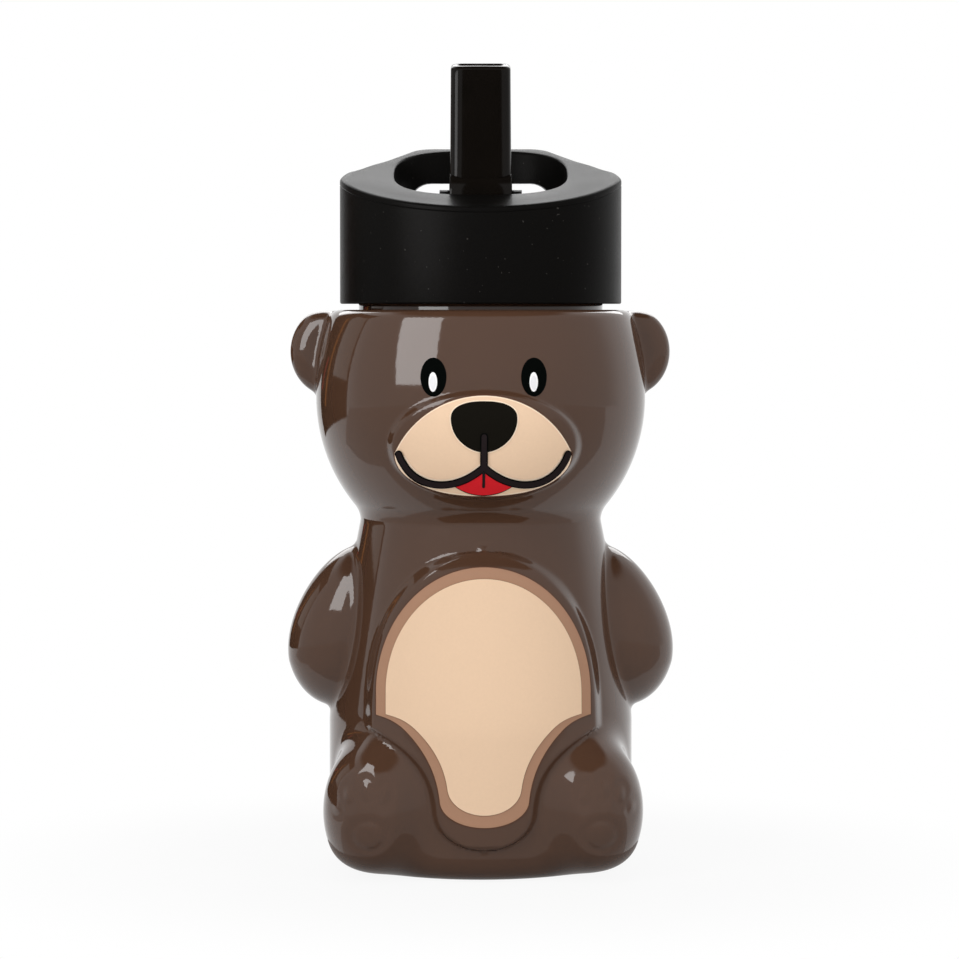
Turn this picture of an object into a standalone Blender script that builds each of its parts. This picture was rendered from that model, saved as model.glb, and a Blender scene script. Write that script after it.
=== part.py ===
"""Bear-shaped drinking bottle with a screw-on lid, a carry loop and a flip-up straw spout.

All sizes are in metres. +Z is up and the bear looks along -Y. The origin is the middle of the base,
on the axis of the neck, at the height of the surface that the bottle stands on.
"""

import math

import bmesh
import bpy
import numpy as np
from mathutils import Matrix, Vector

# Bottle, heights
SHOULDER_HEIGHT = 0.1428
NECK_CREASE_HEIGHT = 0.0888
NECK_HEIGHT = 0.0176
COLLAR_HEIGHT = 0.0042

# Bottle, wall and mouth
WALL = 0.0017
COLLAR_RADIUS = 0.0314
NECK_RADIUS = 0.0305
MOUTH_RADIUS = 0.0286
HEEL_ROUNDING = 0.0080
SHOULDER_ROUNDING = 0.0022
FOOT_RING_RADIUS = 0.0270
PUSH_UP_HEIGHT = 0.0036

# Head
HEAD_RADIUS = 0.0424
HEAD_DROP = 0.0224
HEAD_BELOW = 0.0432
HEAD_ABOVE = 0.0520
MUZZLE_DROP = 0.0112
MUZZLE_HALF_WIDTH = 0.0246
MUZZLE_HALF_HEIGHT = 0.0140
MUZZLE_RISE = 0.0024
EAR_PLACE = Vector((0.0391, 0.0035, 0.0116))
EAR_SIZE = Vector((0.0100, 0.0052, 0.0113))

# Torso, arms and feet
HIP_RADIUS = 0.0391
HIP_HEIGHT = 0.0374
CHEST_RADIUS = 0.0310
BELLY_RISE = 0.0019
BELLY_EDGE = 0.0016
BELLY_HALF_WIDTH = 0.0290
BELLY_TOP = 0.0824
BELLY_CORNER_HEIGHT = 0.0381
BELLY_BOTTOM = 0.0085
BELLY_TAIL_HALF_WIDTH = 0.0125
BELLY_FLARE_POWER = 3.8
ARM_CENTRE = Vector((0.0341, -0.0005, 0.0615))
ARM_SIZE = Vector((0.0142, 0.0144, 0.0213))
ARM_TILT = math.radians(15)
ARM_TAPER = 0.16
FOOT_CENTRE = Vector((0.0264, -0.0252, 0.0167))
FOOT_SIZE = Vector((0.0140, 0.0168, 0.0190))

# Fillets where the forms meet
FOOT_FILLET = 0.0072
ARM_FILLET = 0.0034
EAR_FILLET = 0.0028
NECK_FILLET = 0.0022
ARM_WALL_EXTRA = 0.0030

# Lid
LID_TURN = math.radians(-1.5)
LID_RADIUS = 0.0362
LID_WALL = 0.0023
LID_GAP = 0.0015
DECK_THICKNESS = 0.0024
LID_WALL_RISE = 0.0106
SLANT = math.radians(15)
SLANT_RISE = 0.0126
WELL_HALF_WIDTH = 0.0222
WELL_FRONT = -0.0230
WELL_BACK = 0.0243
WELL_ROUNDNESS = 2.8
LOOP_SIDE_DISTANCE = 0.0284
LOOP_SIDE_ANGLE = math.radians(31.3)
LOOP_CORNER = 0.0040
LOOP_THICKNESS = 0.0034
LOOP_FLARE = 0.0030
LOOP_BAR_HEIGHT = 0.0085
FINGER_GAP_HALF_WIDTH = 0.0186
FINGER_GAP_CORNER = 0.0055
FINGER_GAP_SILL = 0.0012

# Spout and the parts that seal and feed it
PIVOT_BACK = -0.0160
BARREL_RADIUS = 0.0060
BARREL_LENGTH = 0.0158
SPOUT_LENGTH = 0.0329
SPOUT_WIDTH_LOW = 0.0155
SPOUT_WIDTH_TIP = 0.0151
SPOUT_DEPTH_LOW = 0.0079
SPOUT_DEPTH_TIP = 0.0072
SPOUT_CORNER = 0.0022
STEM_START = 0.0012
LIP_HEIGHT = 0.0008
LIP_INSET = 0.0010
TIP_DROP = 0.0014
MOUTH_SLOT_WIDTH = 0.0104
MOUTH_SLOT_DEPTH = 0.0040
CHANNEL_RADIUS = 0.0026
AXLE_RADIUS = 0.0014
LUG_THICKNESS = 0.0022
LUG_RADIUS = 0.0029
LUG_SINK = 0.0006
SEAL_RADIUS = 0.0058
SEAL_DEPTH = 0.0014
PORT_RADIUS = 0.0030
STRAW_RADIUS = 0.0035
STRAW_WALL = 0.0008
STRAW_BOTTOM = 0.0100
GROMMET_WALL = 0.0011
GROMMET_FLANGE = 0.0012
SPIGOT_WALL = 0.0013
SPIGOT_LENGTH = 0.0090
SPIGOT_WEB = 0.0014
GASKET_THICKNESS = 0.0020
GASKET_WIDTH = 0.0032
VALVE_PLACE = Vector((0.0, 0.0080))
VALVE_STEM_RADIUS = 0.0014
VALVE_CAP_RADIUS = 0.0027
VALVE_FLAP_RADIUS = 0.0042
VALVE_CAP_HEIGHT = 0.0007
VALVE_FLAP_HEIGHT = 0.0009

# Gaps, how far a cutter runs past a face, the distance that counts as lying on a form, and sides
CLEARANCE = 0.0003
THROUGH = 0.001
ON_SURFACE = 1e-7
AXLE_CLEARANCE = 0.0003
BODY_COLUMNS = 64
CAVITY_COLUMNS = 32
LID_SIDES = 64
SMALL_SIDES = 20

# Heights that follow from the sizes above
HEAD_HEIGHT = SHOULDER_HEIGHT - HEAD_DROP
MUZZLE_HEIGHT = HEAD_HEIGHT - MUZZLE_DROP
EAR_CENTRE = Vector((0, 0, HEAD_HEIGHT)) + EAR_PLACE
NECK_TOP = SHOULDER_HEIGHT + NECK_HEIGHT
LID_BOTTOM = SHOULDER_HEIGHT + LID_GAP
DECK_UNDERSIDE = NECK_TOP + GASKET_THICKNESS + 2 * CLEARANCE
DECK_TOP = DECK_UNDERSIDE + DECK_THICKNESS
LID_SHOULDER = DECK_TOP + LID_WALL_RISE
SLANT_HEIGHT = DECK_TOP + SLANT_RISE
PIVOT_HEIGHT = DECK_TOP + CLEARANCE + BARREL_RADIUS
SEAL_BOTTOM = DECK_TOP - SEAL_DEPTH + CLEARANCE
SEAL_TOP = PIVOT_HEIGHT - SPOUT_DEPTH_LOW / 2 - CLEARANCE
SPIGOT_BOTTOM = DECK_UNDERSIDE - SPIGOT_LENGTH
SPIGOT_CEILING = DECK_UNDERSIDE - SPIGOT_WEB
GROMMET_BORE = STRAW_RADIUS + CLEARANCE
GROMMET_RADIUS = GROMMET_BORE + GROMMET_WALL
SPIGOT_BORE = GROMMET_RADIUS + CLEARANCE
SPIGOT_RADIUS = SPIGOT_BORE + SPIGOT_WALL


def clear_scene():
    for old in list(bpy.data.objects):
        bpy.data.objects.remove(old, do_unlink=True)


def material(name, colour, roughness, metallic=0.0):
    made = bpy.data.materials.new(name)
    made.use_nodes = True
    shader = made.node_tree.nodes["Principled BSDF"]
    shader.inputs["Base Color"].default_value = (*colour, 1.0)
    shader.inputs["Roughness"].default_value = roughness
    shader.inputs["Metallic"].default_value = metallic
    return made


# Bear form. Each function takes points as an array of rows and gives a signed distance in metres,
# which is negative inside the form.


def ellipsoid(points, centre, size):
    scaled = np.linalg.norm((points - centre) / size, axis=1)
    slope = np.linalg.norm((points - centre) / np.square(size), axis=1)
    return scaled * (scaled - 1) / np.maximum(slope, 1e-6)


def blend(first, second, width):
    """The union of two forms, with a fillet of about this width where they meet."""
    near = np.maximum(width - np.abs(first - second), 0) / width
    return np.minimum(first, second) - near * near * width / 4


def trim(first, second, width):
    """What lies inside both forms, with an edge rounded over this width."""
    return -blend(-first, -second, width)


def ramp(values, start, end):
    """0 before start and 1 after end, with a smooth rise between."""
    along = np.clip((values - start) / (end - start), 0, 1)
    return along * along * (3 - 2 * along)


def mirrored(points):
    return points * np.array((-1.0, 1.0, 1.0))


def bowl(points):
    """The round head without its muzzle: half of one egg under half of a taller one."""
    height = points[:, 2] - HEAD_HEIGHT
    reach = np.where(height > 0, HEAD_ABOVE, HEAD_BELOW)
    return ellipsoid(
        np.stack((points[:, 0], points[:, 1], height / reach * HEAD_RADIUS), axis=1),
        np.zeros(3),
        np.full(3, HEAD_RADIUS),
    )


def head(points):
    across = points[:, 0] / MUZZLE_HALF_WIDTH
    up = (points[:, 2] - MUZZLE_HEIGHT) / MUZZLE_HALF_HEIGHT
    inside = 1 - across**2 - up**2
    muzzle = MUZZLE_RISE * (0.7 * ramp(inside, 0, 0.3) + 0.3 * ramp(inside, 0, 1))
    return bowl(points) - np.where(points[:, 1] < 0, muzzle, 0)


def ear(points):
    return ellipsoid(points, np.array(EAR_CENTRE), np.array(EAR_SIZE))


def belly_outline(points):
    """How far inside the belly panel a point lies, seen from the front: an arch over a narrow tail."""
    across = np.abs(points[:, 0])
    height = points[:, 2]
    arch_height = BELLY_TOP - BELLY_CORNER_HEIGHT
    rise = np.clip(height - BELLY_CORNER_HEIGHT, 0, None) / arch_height
    arch_edge = BELLY_HALF_WIDTH * np.sqrt(np.clip(1 - rise**2.6, 0, 1))
    arch = np.minimum(arch_edge - across, BELLY_TOP - height)
    above_tail = np.clip(height - BELLY_BOTTOM, 0, None) / (BELLY_CORNER_HEIGHT - BELLY_BOTTOM)
    flare = (BELLY_HALF_WIDTH - BELLY_TAIL_HALF_WIDTH) * above_tail**BELLY_FLARE_POWER
    foot = np.sqrt(np.clip(1 - np.clip(1 - above_tail * 3.2, 0, 1) ** 2, 0, 1))
    tail_edge = BELLY_TAIL_HALF_WIDTH * foot + flare
    tail = np.minimum(tail_edge - across, height - BELLY_BOTTOM)
    return np.where(height > BELLY_CORNER_HEIGHT, arch, tail)


def torso(points, rise=BELLY_RISE):
    reach = np.hypot(points[:, 0], points[:, 1])
    along = np.clip((points[:, 2] - HIP_HEIGHT) / (NECK_CREASE_HEIGHT - HIP_HEIGHT), 0, 1)
    radius = HIP_RADIUS - (HIP_RADIUS - CHEST_RADIUS) * along**1.25
    panel = rise * ramp(belly_outline(points), -BELLY_EDGE, BELLY_EDGE)
    side = reach - radius - np.where(points[:, 1] < 0, panel, 0)
    return np.maximum(side, points[:, 2] - HEAD_HEIGHT)


def arm(points):
    """An egg that leans out towards its lower, fuller end."""
    local = points - np.array(ARM_CENTRE)
    up = -local[:, 0] * math.sin(ARM_TILT) + local[:, 2] * math.cos(ARM_TILT)
    out = local[:, 0] * math.cos(ARM_TILT) + local[:, 2] * math.sin(ARM_TILT)
    slim = 1 + ARM_TAPER * np.clip(up / ARM_SIZE.z, -0.6, 1)
    return ellipsoid(
        np.stack((out * slim, local[:, 1] * slim, up), axis=1), np.zeros(3), np.array(ARM_SIZE)
    )


def foot(points):
    return ellipsoid(points, np.array(FOOT_CENTRE), np.array(FOOT_SIZE))


def figure(points):
    """The whole bear, before its base and its shoulder are made flat."""
    other = mirrored(points)
    body = torso(points)
    body = blend(body, foot(points), FOOT_FILLET)
    body = blend(body, foot(other), FOOT_FILLET)
    body = blend(body, arm(points), ARM_FILLET)
    body = blend(body, arm(other), ARM_FILLET)
    top = head(points)
    top = blend(top, ear(points), EAR_FILLET)
    top = blend(top, ear(other), EAR_FILLET)
    return blend(body, top, NECK_FILLET)


def hollow(points):
    """The space inside the bear: a wall in from the form without its panel, and less far in the arms."""
    other = mirrored(points)
    body = torso(points, rise=0)
    body = blend(body, foot(points) + WALL, FOOT_FILLET)
    body = blend(body, foot(other) + WALL, FOOT_FILLET)
    body = blend(body, arm(points) + ARM_WALL_EXTRA, FOOT_FILLET)
    body = blend(body, arm(other) + ARM_WALL_EXTRA, FOOT_FILLET)
    return np.minimum(body, bowl(points)) + WALL


def bear(points):
    body = trim(figure(points), points[:, 2] - SHOULDER_HEIGHT, SHOULDER_ROUNDING)
    return trim(body, -points[:, 2], HEEL_ROUNDING)


def reach_of(form, angles, height):
    """How far out from the axis the form goes at this height, for each angle."""
    near = np.zeros(len(angles))
    far = np.full(len(angles), 0.080)
    for _ in range(24):
        middle = (near + far) / 2
        points = np.stack(
            (middle * np.cos(angles), middle * np.sin(angles), np.full(len(angles), height)), axis=1
        )
        inside = form(points) < ON_SURFACE
        near = np.where(inside, middle, near)
        far = np.where(inside, far, middle)
    return (near + far) / 2


def ring(angles, reach, height):
    reach = np.broadcast_to(reach, angles.shape)
    return [
        Vector((r * math.cos(a), r * math.sin(a), height)) for a, r in zip(angles, reach)
    ]


def column_angles(count):
    """Angles round the axis, closer together at the two sides, where the ears and arms are."""
    even = np.linspace(0, 2 * math.pi, count, endpoint=False)
    return even - 0.14 * np.sin(2 * even)


def new_object(name, mesh, finish, smooth=35):
    made = bpy.data.objects.new(name, mesh)
    bpy.context.scene.collection.objects.link(made)
    if finish:
        mesh.materials.append(finish)
    mesh.shade_smooth()
    mesh.set_sharp_from_angle(angle=math.radians(smooth))
    return made


def loft(name, rings, finish=None, smooth=35):
    """Joins rings of as many points each, first to last, and closes both ends."""
    shape = bmesh.new()
    rows = [[shape.verts.new(point) for point in points] for points in rings]
    for low, high in zip(rows, rows[1:]):
        for i in range(len(low)):
            j = (i + 1) % len(low)
            shape.faces.new((low[i], low[j], high[j], high[i]))
    shape.faces.new(rows[0][::-1])
    shape.faces.new(rows[-1])
    bmesh.ops.recalc_face_normals(shape, faces=shape.faces)
    mesh = bpy.data.meshes.new(name)
    shape.to_mesh(mesh)
    shape.free()
    return new_object(name, mesh, finish, smooth)


def tube(name, profile, sides, finish=None, smooth=35):
    """Turns a closed outline of (radius, height) points round the Z axis."""
    shape = bmesh.new()
    angles = [2 * math.pi * i / sides for i in range(sides)]
    rows = [
        [shape.verts.new((r * math.cos(a), r * math.sin(a), z)) for r, z in profile] for a in angles
    ]
    for i in range(sides):
        here, there = rows[i], rows[(i + 1) % sides]
        for k in range(len(profile)):
            m = (k + 1) % len(profile)
            shape.faces.new((here[k], there[k], there[m], here[m]))
    bmesh.ops.recalc_face_normals(shape, faces=shape.faces)
    mesh = bpy.data.meshes.new(name)
    shape.to_mesh(mesh)
    shape.free()
    return new_object(name, mesh, finish, smooth)


def circle(radius, height, sides, centre=(0.0, 0.0)):
    step = 2 * math.pi / sides
    return [
        Vector((
            centre[0] + radius * math.cos(step * i),
            centre[1] + radius * math.sin(step * i),
            height,
        ))
        for i in range(sides)
    ]


def rod(name, radius, low, high, sides=SMALL_SIDES, centre=(0.0, 0.0), finish=None):
    return loft(name, [circle(radius, low, sides, centre), circle(radius, high, sides, centre)], finish)


def cross_rod(name, radius, half_length, centre, sides=SMALL_SIDES):
    """A cylinder along X."""
    made = rod(name, radius, -half_length, half_length, sides)
    made.data.transform(Matrix.Translation(centre) @ Matrix.Rotation(math.pi / 2, 4, "Y"))
    return made


def cut(target, tool, operation="DIFFERENCE"):
    """A Boolean with a helper that stays in the scene as a wire shape and isn't part of the object."""
    tool.hide_render = True
    tool.display_type = "WIRE"
    tool.parent = target.parent
    step = target.modifiers.new(tool.name, "BOOLEAN")
    step.operation = operation
    step.solver = "EXACT"
    step.object = tool


def join(target, tool):
    cut(target, tool, "UNION")


# Bottle


def body_heights():
    """Ring heights from the base to the shoulder, closest where the form turns most."""
    heel = [HEEL_ROUNDING * share for share in (0, 0.04, 0.16, 0.42, 0.7, 1)]
    low = list(np.linspace(HEEL_ROUNDING, NECK_CREASE_HEIGHT, 25))[1:]
    high = list(np.linspace(NECK_CREASE_HEIGHT, SHOULDER_HEIGHT - SHOULDER_ROUNDING, 17))[1:]
    edge = [SHOULDER_HEIGHT - SHOULDER_ROUNDING * share for share in (0.4, 0.12, 0)]
    return heel + low + high + edge


def cavity_heights(floor, ceiling):
    low = list(np.linspace(floor, NECK_CREASE_HEIGHT, 12))
    high = list(np.linspace(NECK_CREASE_HEIGHT, ceiling, 8))[1:]
    return low + high


def make_bottle_body(finish):
    angles = column_angles(BODY_COLUMNS)
    rings = [
        ring(angles, FOOT_RING_RADIUS * 0.4, PUSH_UP_HEIGHT),
        ring(angles, FOOT_RING_RADIUS * 0.8, PUSH_UP_HEIGHT * 0.75),
        ring(angles, FOOT_RING_RADIUS, 0),
    ]
    for height in body_heights():
        rings.append(ring(angles, reach_of(bear, angles, height), height))
    rings += [
        ring(angles, COLLAR_RADIUS, SHOULDER_HEIGHT),
        ring(angles, COLLAR_RADIUS, SHOULDER_HEIGHT + COLLAR_HEIGHT),
        ring(angles, NECK_RADIUS, SHOULDER_HEIGHT + COLLAR_HEIGHT),
        ring(angles, NECK_RADIUS, NECK_TOP),
    ]
    body = loft("bottle_body", rings, finish, smooth=50)
    floor = PUSH_UP_HEIGHT + WALL
    ceiling = SHOULDER_HEIGHT - WALL
    bends = column_angles(CAVITY_COLUMNS)
    rings = []
    for height in cavity_heights(floor, ceiling):
        shrink = WALL * ramp(np.array([floor + 2 * WALL - height]), 0, 2 * WALL)[0]
        rings.append(ring(bends, reach_of(hollow, bends, height) - shrink, height))
    rings += [ring(bends, MOUTH_RADIUS, ceiling), ring(bends, MOUTH_RADIUS, NECK_TOP + WALL)]
    cut(body, loft("cavity_cutter", rings))
    return body


# Lid


def superellipse(half_width, front, back, power, height, sides):
    """A rounded outline between two depths, like a circle that is a little square."""
    middle = (front + back) / 2
    half_depth = (back - front) / 2
    points = []
    for i in range(sides):
        angle = 2 * math.pi * i / sides
        c = math.cos(angle)
        s = math.sin(angle)
        points.append(
            Vector((
                half_width * math.copysign(abs(c) ** (2 / power), c),
                middle + half_depth * math.copysign(abs(s) ** (2 / power), s),
                height,
            ))
        )
    return points


def loop_outline(grow, height):
    """The outside of the carry loop: round in front, straight sides that draw in, and a flat bar behind."""
    angles = np.linspace(0, 2 * math.pi, LID_SIDES, endpoint=False)
    lean = np.maximum(np.cos(abs_angle(angles) - LOOP_SIDE_ANGLE), 0.05)
    sides = (LOOP_SIDE_DISTANCE + grow) / lean
    bar = (WELL_BACK + LOOP_THICKNESS + grow) / np.maximum(np.sin(angles), 0.05)
    reach = blend(blend(sides, bar, LOOP_CORNER), LID_RADIUS - CLEARANCE, LOOP_CORNER)
    return ring(angles, reach, height)


def abs_angle(angles):
    """The angle from +X of the same direction mirrored onto the +X side."""
    return np.arctan2(np.sin(angles), np.abs(np.cos(angles)))


def slant_height(depth):
    return SLANT_HEIGHT + depth * math.tan(SLANT)


def make_lid_shell(finish, parent):
    shell = rod("lid_shell", LID_RADIUS, LID_BOTTOM, LID_SHOULDER, LID_SIDES, finish=finish)
    shell.parent = parent
    top = slant_height(LID_RADIUS)
    flare_top = LID_SHOULDER + LOOP_FLARE * 1.3
    join(
        shell,
        loft(
            "loop_block",
            [
                loop_outline(LOOP_FLARE, DECK_UNDERSIDE + DECK_THICKNESS / 2),
                loop_outline(LOOP_FLARE, LID_SHOULDER - CLEARANCE),
                loop_outline(0, flare_top),
                loop_outline(0, top),
            ],
        ),
    )
    roof = loft(
        "slant_cutter",
        [
            [Vector((x, y, slant_height(y))) for x, y in SQUARE],
            [Vector((x, y, top + 2 * LID_RADIUS)) for x, y in SQUARE],
        ],
    )
    cut(shell, roof)
    cut(
        shell,
        rod("skirt_bore", LID_RADIUS - LID_WALL, LID_BOTTOM - THROUGH, DECK_UNDERSIDE, LID_SIDES),
    )
    well = [
        superellipse(WELL_HALF_WIDTH, WELL_FRONT, WELL_BACK, WELL_ROUNDNESS, height, 40)
        for height in (DECK_TOP, top + THROUGH)
    ]
    cut(shell, loft("well_cutter", well))
    cut(shell, finger_gap_cutter())
    for side in (-1, 1):
        join(shell, pivot_lug(side, parent))
    place = (0.0, PIVOT_BACK)
    join(shell, rod("spigot", SPIGOT_RADIUS, SPIGOT_BOTTOM, DECK_UNDERSIDE + LUG_SINK, centre=place))
    cut(shell, rod("spigot_bore", SPIGOT_BORE, SPIGOT_BOTTOM - THROUGH, SPIGOT_CEILING, centre=place))
    cut(shell, rod("port_bore", PORT_RADIUS, SPIGOT_CEILING - THROUGH, DECK_TOP + THROUGH, centre=place))
    cut(
        shell,
        rod(
            "seal_pocket",
            SEAL_RADIUS + CLEARANCE,
            DECK_TOP - SEAL_DEPTH,
            DECK_TOP + THROUGH,
            24,
            centre=place,
        ),
    )
    cut(
        shell,
        rod(
            "vent_bore",
            VALVE_STEM_RADIUS + CLEARANCE,
            DECK_UNDERSIDE - THROUGH,
            DECK_TOP + THROUGH,
            centre=VALVE_PLACE,
        ),
    )
    return shell


CORNER = 1.5 * LID_RADIUS
SQUARE = ((-CORNER, -CORNER), (CORNER, -CORNER), (CORNER, CORNER), (-CORNER, CORNER))


def finger_gap_cutter():
    """The gap under the bar of the carry loop, open to the back, with rounded upper corners."""
    bar_underside = slant_height(WELL_BACK) - LOOP_BAR_HEIGHT
    floor = DECK_TOP + FINGER_GAP_SILL
    outline = [
        (-FINGER_GAP_HALF_WIDTH, floor),
        (FINGER_GAP_HALF_WIDTH, floor),
    ]
    for side in (1, -1):
        turns = range(5) if side == 1 else range(4, -1, -1)
        for i in turns:
            angle = math.pi / 8 * i
            outline.append((
                side * (FINGER_GAP_HALF_WIDTH - FINGER_GAP_CORNER * (1 - math.cos(angle))),
                bar_underside - FINGER_GAP_CORNER * (1 - math.sin(angle)),
            ))
    start = WELL_BACK * 0.45
    return loft(
        "finger_gap_cutter",
        [[Vector((x, y, z)) for x, z in outline] for y in (start, LID_RADIUS + THROUGH)],
    )


def pivot_lug(side, parent):
    """An ear on the deck that holds one axle of the spout, with the hole that the axle turns in."""
    inner = BARREL_LENGTH / 2 + CLEARANCE
    outline = [(-LUG_RADIUS, DECK_TOP - LUG_SINK), (LUG_RADIUS, DECK_TOP - LUG_SINK)]
    for i in range(7):
        angle = math.pi / 6 * i
        outline.append((
            LUG_RADIUS * math.cos(angle),
            PIVOT_HEIGHT + LUG_RADIUS * math.sin(angle) * 0.8,
        ))
    faces = sorted(side * x for x in (inner, inner + LUG_THICKNESS))
    lug = loft(
        f"pivot_lug_{'right' if side > 0 else 'left'}",
        [[Vector((x, PIVOT_BACK + y, z)) for y, z in outline] for x in faces],
    )
    lug.parent = parent
    hole = cross_rod(
        f"axle_hole_{'right' if side > 0 else 'left'}",
        AXLE_RADIUS + AXLE_CLEARANCE,
        LUG_THICKNESS,
        Vector((side * (inner + LUG_THICKNESS / 2), PIVOT_BACK, PIVOT_HEIGHT)),
        12,
    )
    cut(lug, hole)
    return lug


def make_gasket(finish, parent):
    outer = NECK_RADIUS
    low = NECK_TOP + CLEARANCE
    high = low + GASKET_THICKNESS
    edge = GASKET_THICKNESS * 0.25
    profile = [
        (outer, low + edge),
        (outer, high - edge),
        (outer - edge, high),
        (outer - GASKET_WIDTH + edge, high),
        (outer - GASKET_WIDTH, high - edge),
        (outer - GASKET_WIDTH, low + edge),
        (outer - GASKET_WIDTH + edge, low),
        (outer - edge, low),
    ]
    gasket = tube("lid_gasket", profile, 48, finish)
    gasket.parent = parent
    return gasket


def make_valve(finish, parent):
    """A silicone mushroom: a cap above the deck, a stem through it and a soft flap under it."""
    cap_low = DECK_TOP + CLEARANCE
    flap_high = DECK_UNDERSIDE - CLEARANCE
    rings = [
        circle(VALVE_FLAP_RADIUS * 0.5, flap_high - VALVE_FLAP_HEIGHT, SMALL_SIDES, VALVE_PLACE),
        circle(VALVE_FLAP_RADIUS, flap_high - VALVE_FLAP_HEIGHT * 0.4, SMALL_SIDES, VALVE_PLACE),
        circle(VALVE_FLAP_RADIUS, flap_high, SMALL_SIDES, VALVE_PLACE),
        circle(VALVE_STEM_RADIUS, flap_high, SMALL_SIDES, VALVE_PLACE),
        circle(VALVE_STEM_RADIUS, cap_low, SMALL_SIDES, VALVE_PLACE),
        circle(VALVE_CAP_RADIUS, cap_low, SMALL_SIDES, VALVE_PLACE),
        circle(VALVE_CAP_RADIUS * 0.8, cap_low + VALVE_CAP_HEIGHT, SMALL_SIDES, VALVE_PLACE),
    ]
    valve = loft("vent_valve", rings, finish)
    valve.parent = parent
    return valve


# Spout, made round its own axle so that its origin is on the joint


def rounded_slab(width, depth, corner, height, slope=0.0):
    """A rectangle with round corners. Its height drops towards the front by the slope."""
    points = []
    for turn, (sx, sy) in enumerate(((1, 1), (-1, 1), (-1, -1), (1, -1))):
        for i in range(4):
            angle = math.pi / 2 * (turn + i / 3)
            x = sx * (width / 2 - corner) + corner * math.cos(angle)
            y = sy * (depth / 2 - corner) + corner * math.sin(angle)
            points.append(Vector((x, y, height + slope * y)))
    return points


def make_spout(finish, pivot):
    top = SPOUT_LENGTH
    slope = TIP_DROP / SPOUT_DEPTH_TIP
    rings = [
        rounded_slab(SPOUT_WIDTH_LOW, SPOUT_DEPTH_LOW, SPOUT_CORNER, STEM_START),
        rounded_slab(SPOUT_WIDTH_LOW, SPOUT_DEPTH_LOW, SPOUT_CORNER, BARREL_RADIUS + LIP_HEIGHT),
        rounded_slab(SPOUT_WIDTH_TIP, SPOUT_DEPTH_TIP, SPOUT_CORNER, top - LIP_HEIGHT, slope),
        rounded_slab(
            SPOUT_WIDTH_TIP - LIP_INSET,
            SPOUT_DEPTH_TIP - LIP_INSET,
            SPOUT_CORNER - LIP_INSET / 2,
            top,
            slope,
        ),
    ]
    spout = loft("spout", rings, finish)
    spout.parent = pivot
    join(spout, cross_rod("barrel", BARREL_RADIUS, BARREL_LENGTH / 2, Vector(), 28))
    axle_reach = BARREL_LENGTH / 2 + CLEARANCE + LUG_THICKNESS
    join(spout, cross_rod("axle", AXLE_RADIUS, axle_reach, Vector(), 12))
    channel = [
        rounded_slab(2 * CHANNEL_RADIUS, 2 * CHANNEL_RADIUS, CHANNEL_RADIUS, -BARREL_RADIUS - THROUGH),
        rounded_slab(2 * CHANNEL_RADIUS, 2 * CHANNEL_RADIUS, CHANNEL_RADIUS, BARREL_RADIUS),
        rounded_slab(MOUTH_SLOT_WIDTH, MOUTH_SLOT_DEPTH, MOUTH_SLOT_DEPTH * 0.4, top * 0.5),
        rounded_slab(MOUTH_SLOT_WIDTH, MOUTH_SLOT_DEPTH, MOUTH_SLOT_DEPTH * 0.4, top + THROUGH),
    ]
    cut(spout, loft("channel_cutter", channel))
    return spout


def make_seal(finish, parent):
    """A silicone saddle that the barrel of the spout turns on, low enough to clear the folded stem."""
    place = (0.0, PIVOT_BACK)
    seal = rod("spout_seal", SEAL_RADIUS, SEAL_BOTTOM, SEAL_TOP, 24, place, finish)
    seal.parent = parent
    cut(seal, rod("seal_bore", CHANNEL_RADIUS, SEAL_BOTTOM - THROUGH, SEAL_TOP + THROUGH, centre=place))
    saddle = Vector((0, PIVOT_BACK, PIVOT_HEIGHT))
    cut(seal, cross_rod("saddle_cutter", BARREL_RADIUS + CLEARANCE, SEAL_RADIUS * 1.5, saddle, 28))
    return seal


def make_grommet(finish, parent):
    low = SPIGOT_BOTTOM - CLEARANCE - GROMMET_FLANGE
    profile = [
        (GROMMET_BORE, low),
        (SPIGOT_RADIUS, low),
        (SPIGOT_RADIUS, SPIGOT_BOTTOM - CLEARANCE),
        (GROMMET_RADIUS, SPIGOT_BOTTOM - CLEARANCE),
        (GROMMET_RADIUS, SPIGOT_CEILING - CLEARANCE),
        (GROMMET_BORE, SPIGOT_CEILING - CLEARANCE),
    ]
    grommet = tube("straw_grommet", profile, SMALL_SIDES, finish)
    grommet.data.transform(Matrix.Translation((0, PIVOT_BACK, 0)))
    grommet.parent = parent
    return grommet


def make_straw(finish, parent):
    bore = STRAW_RADIUS - STRAW_WALL
    top = SPIGOT_CEILING - CLEARANCE
    profile = [
        (bore, STRAW_BOTTOM),
        (STRAW_RADIUS, STRAW_BOTTOM),
        (STRAW_RADIUS, top),
        (bore, top),
    ]
    straw = tube("straw", profile, 16, finish)
    straw.data.transform(Matrix.Translation((0, PIVOT_BACK, 0)))
    straw.parent = parent
    return straw


def empty(name, place=(0, 0, 0), turn=0.0, parent=None):
    made = bpy.data.objects.new(name, None)
    bpy.context.scene.collection.objects.link(made)
    made.location = place
    made.rotation_euler = (0, 0, turn)
    made.parent = parent
    return made


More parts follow.
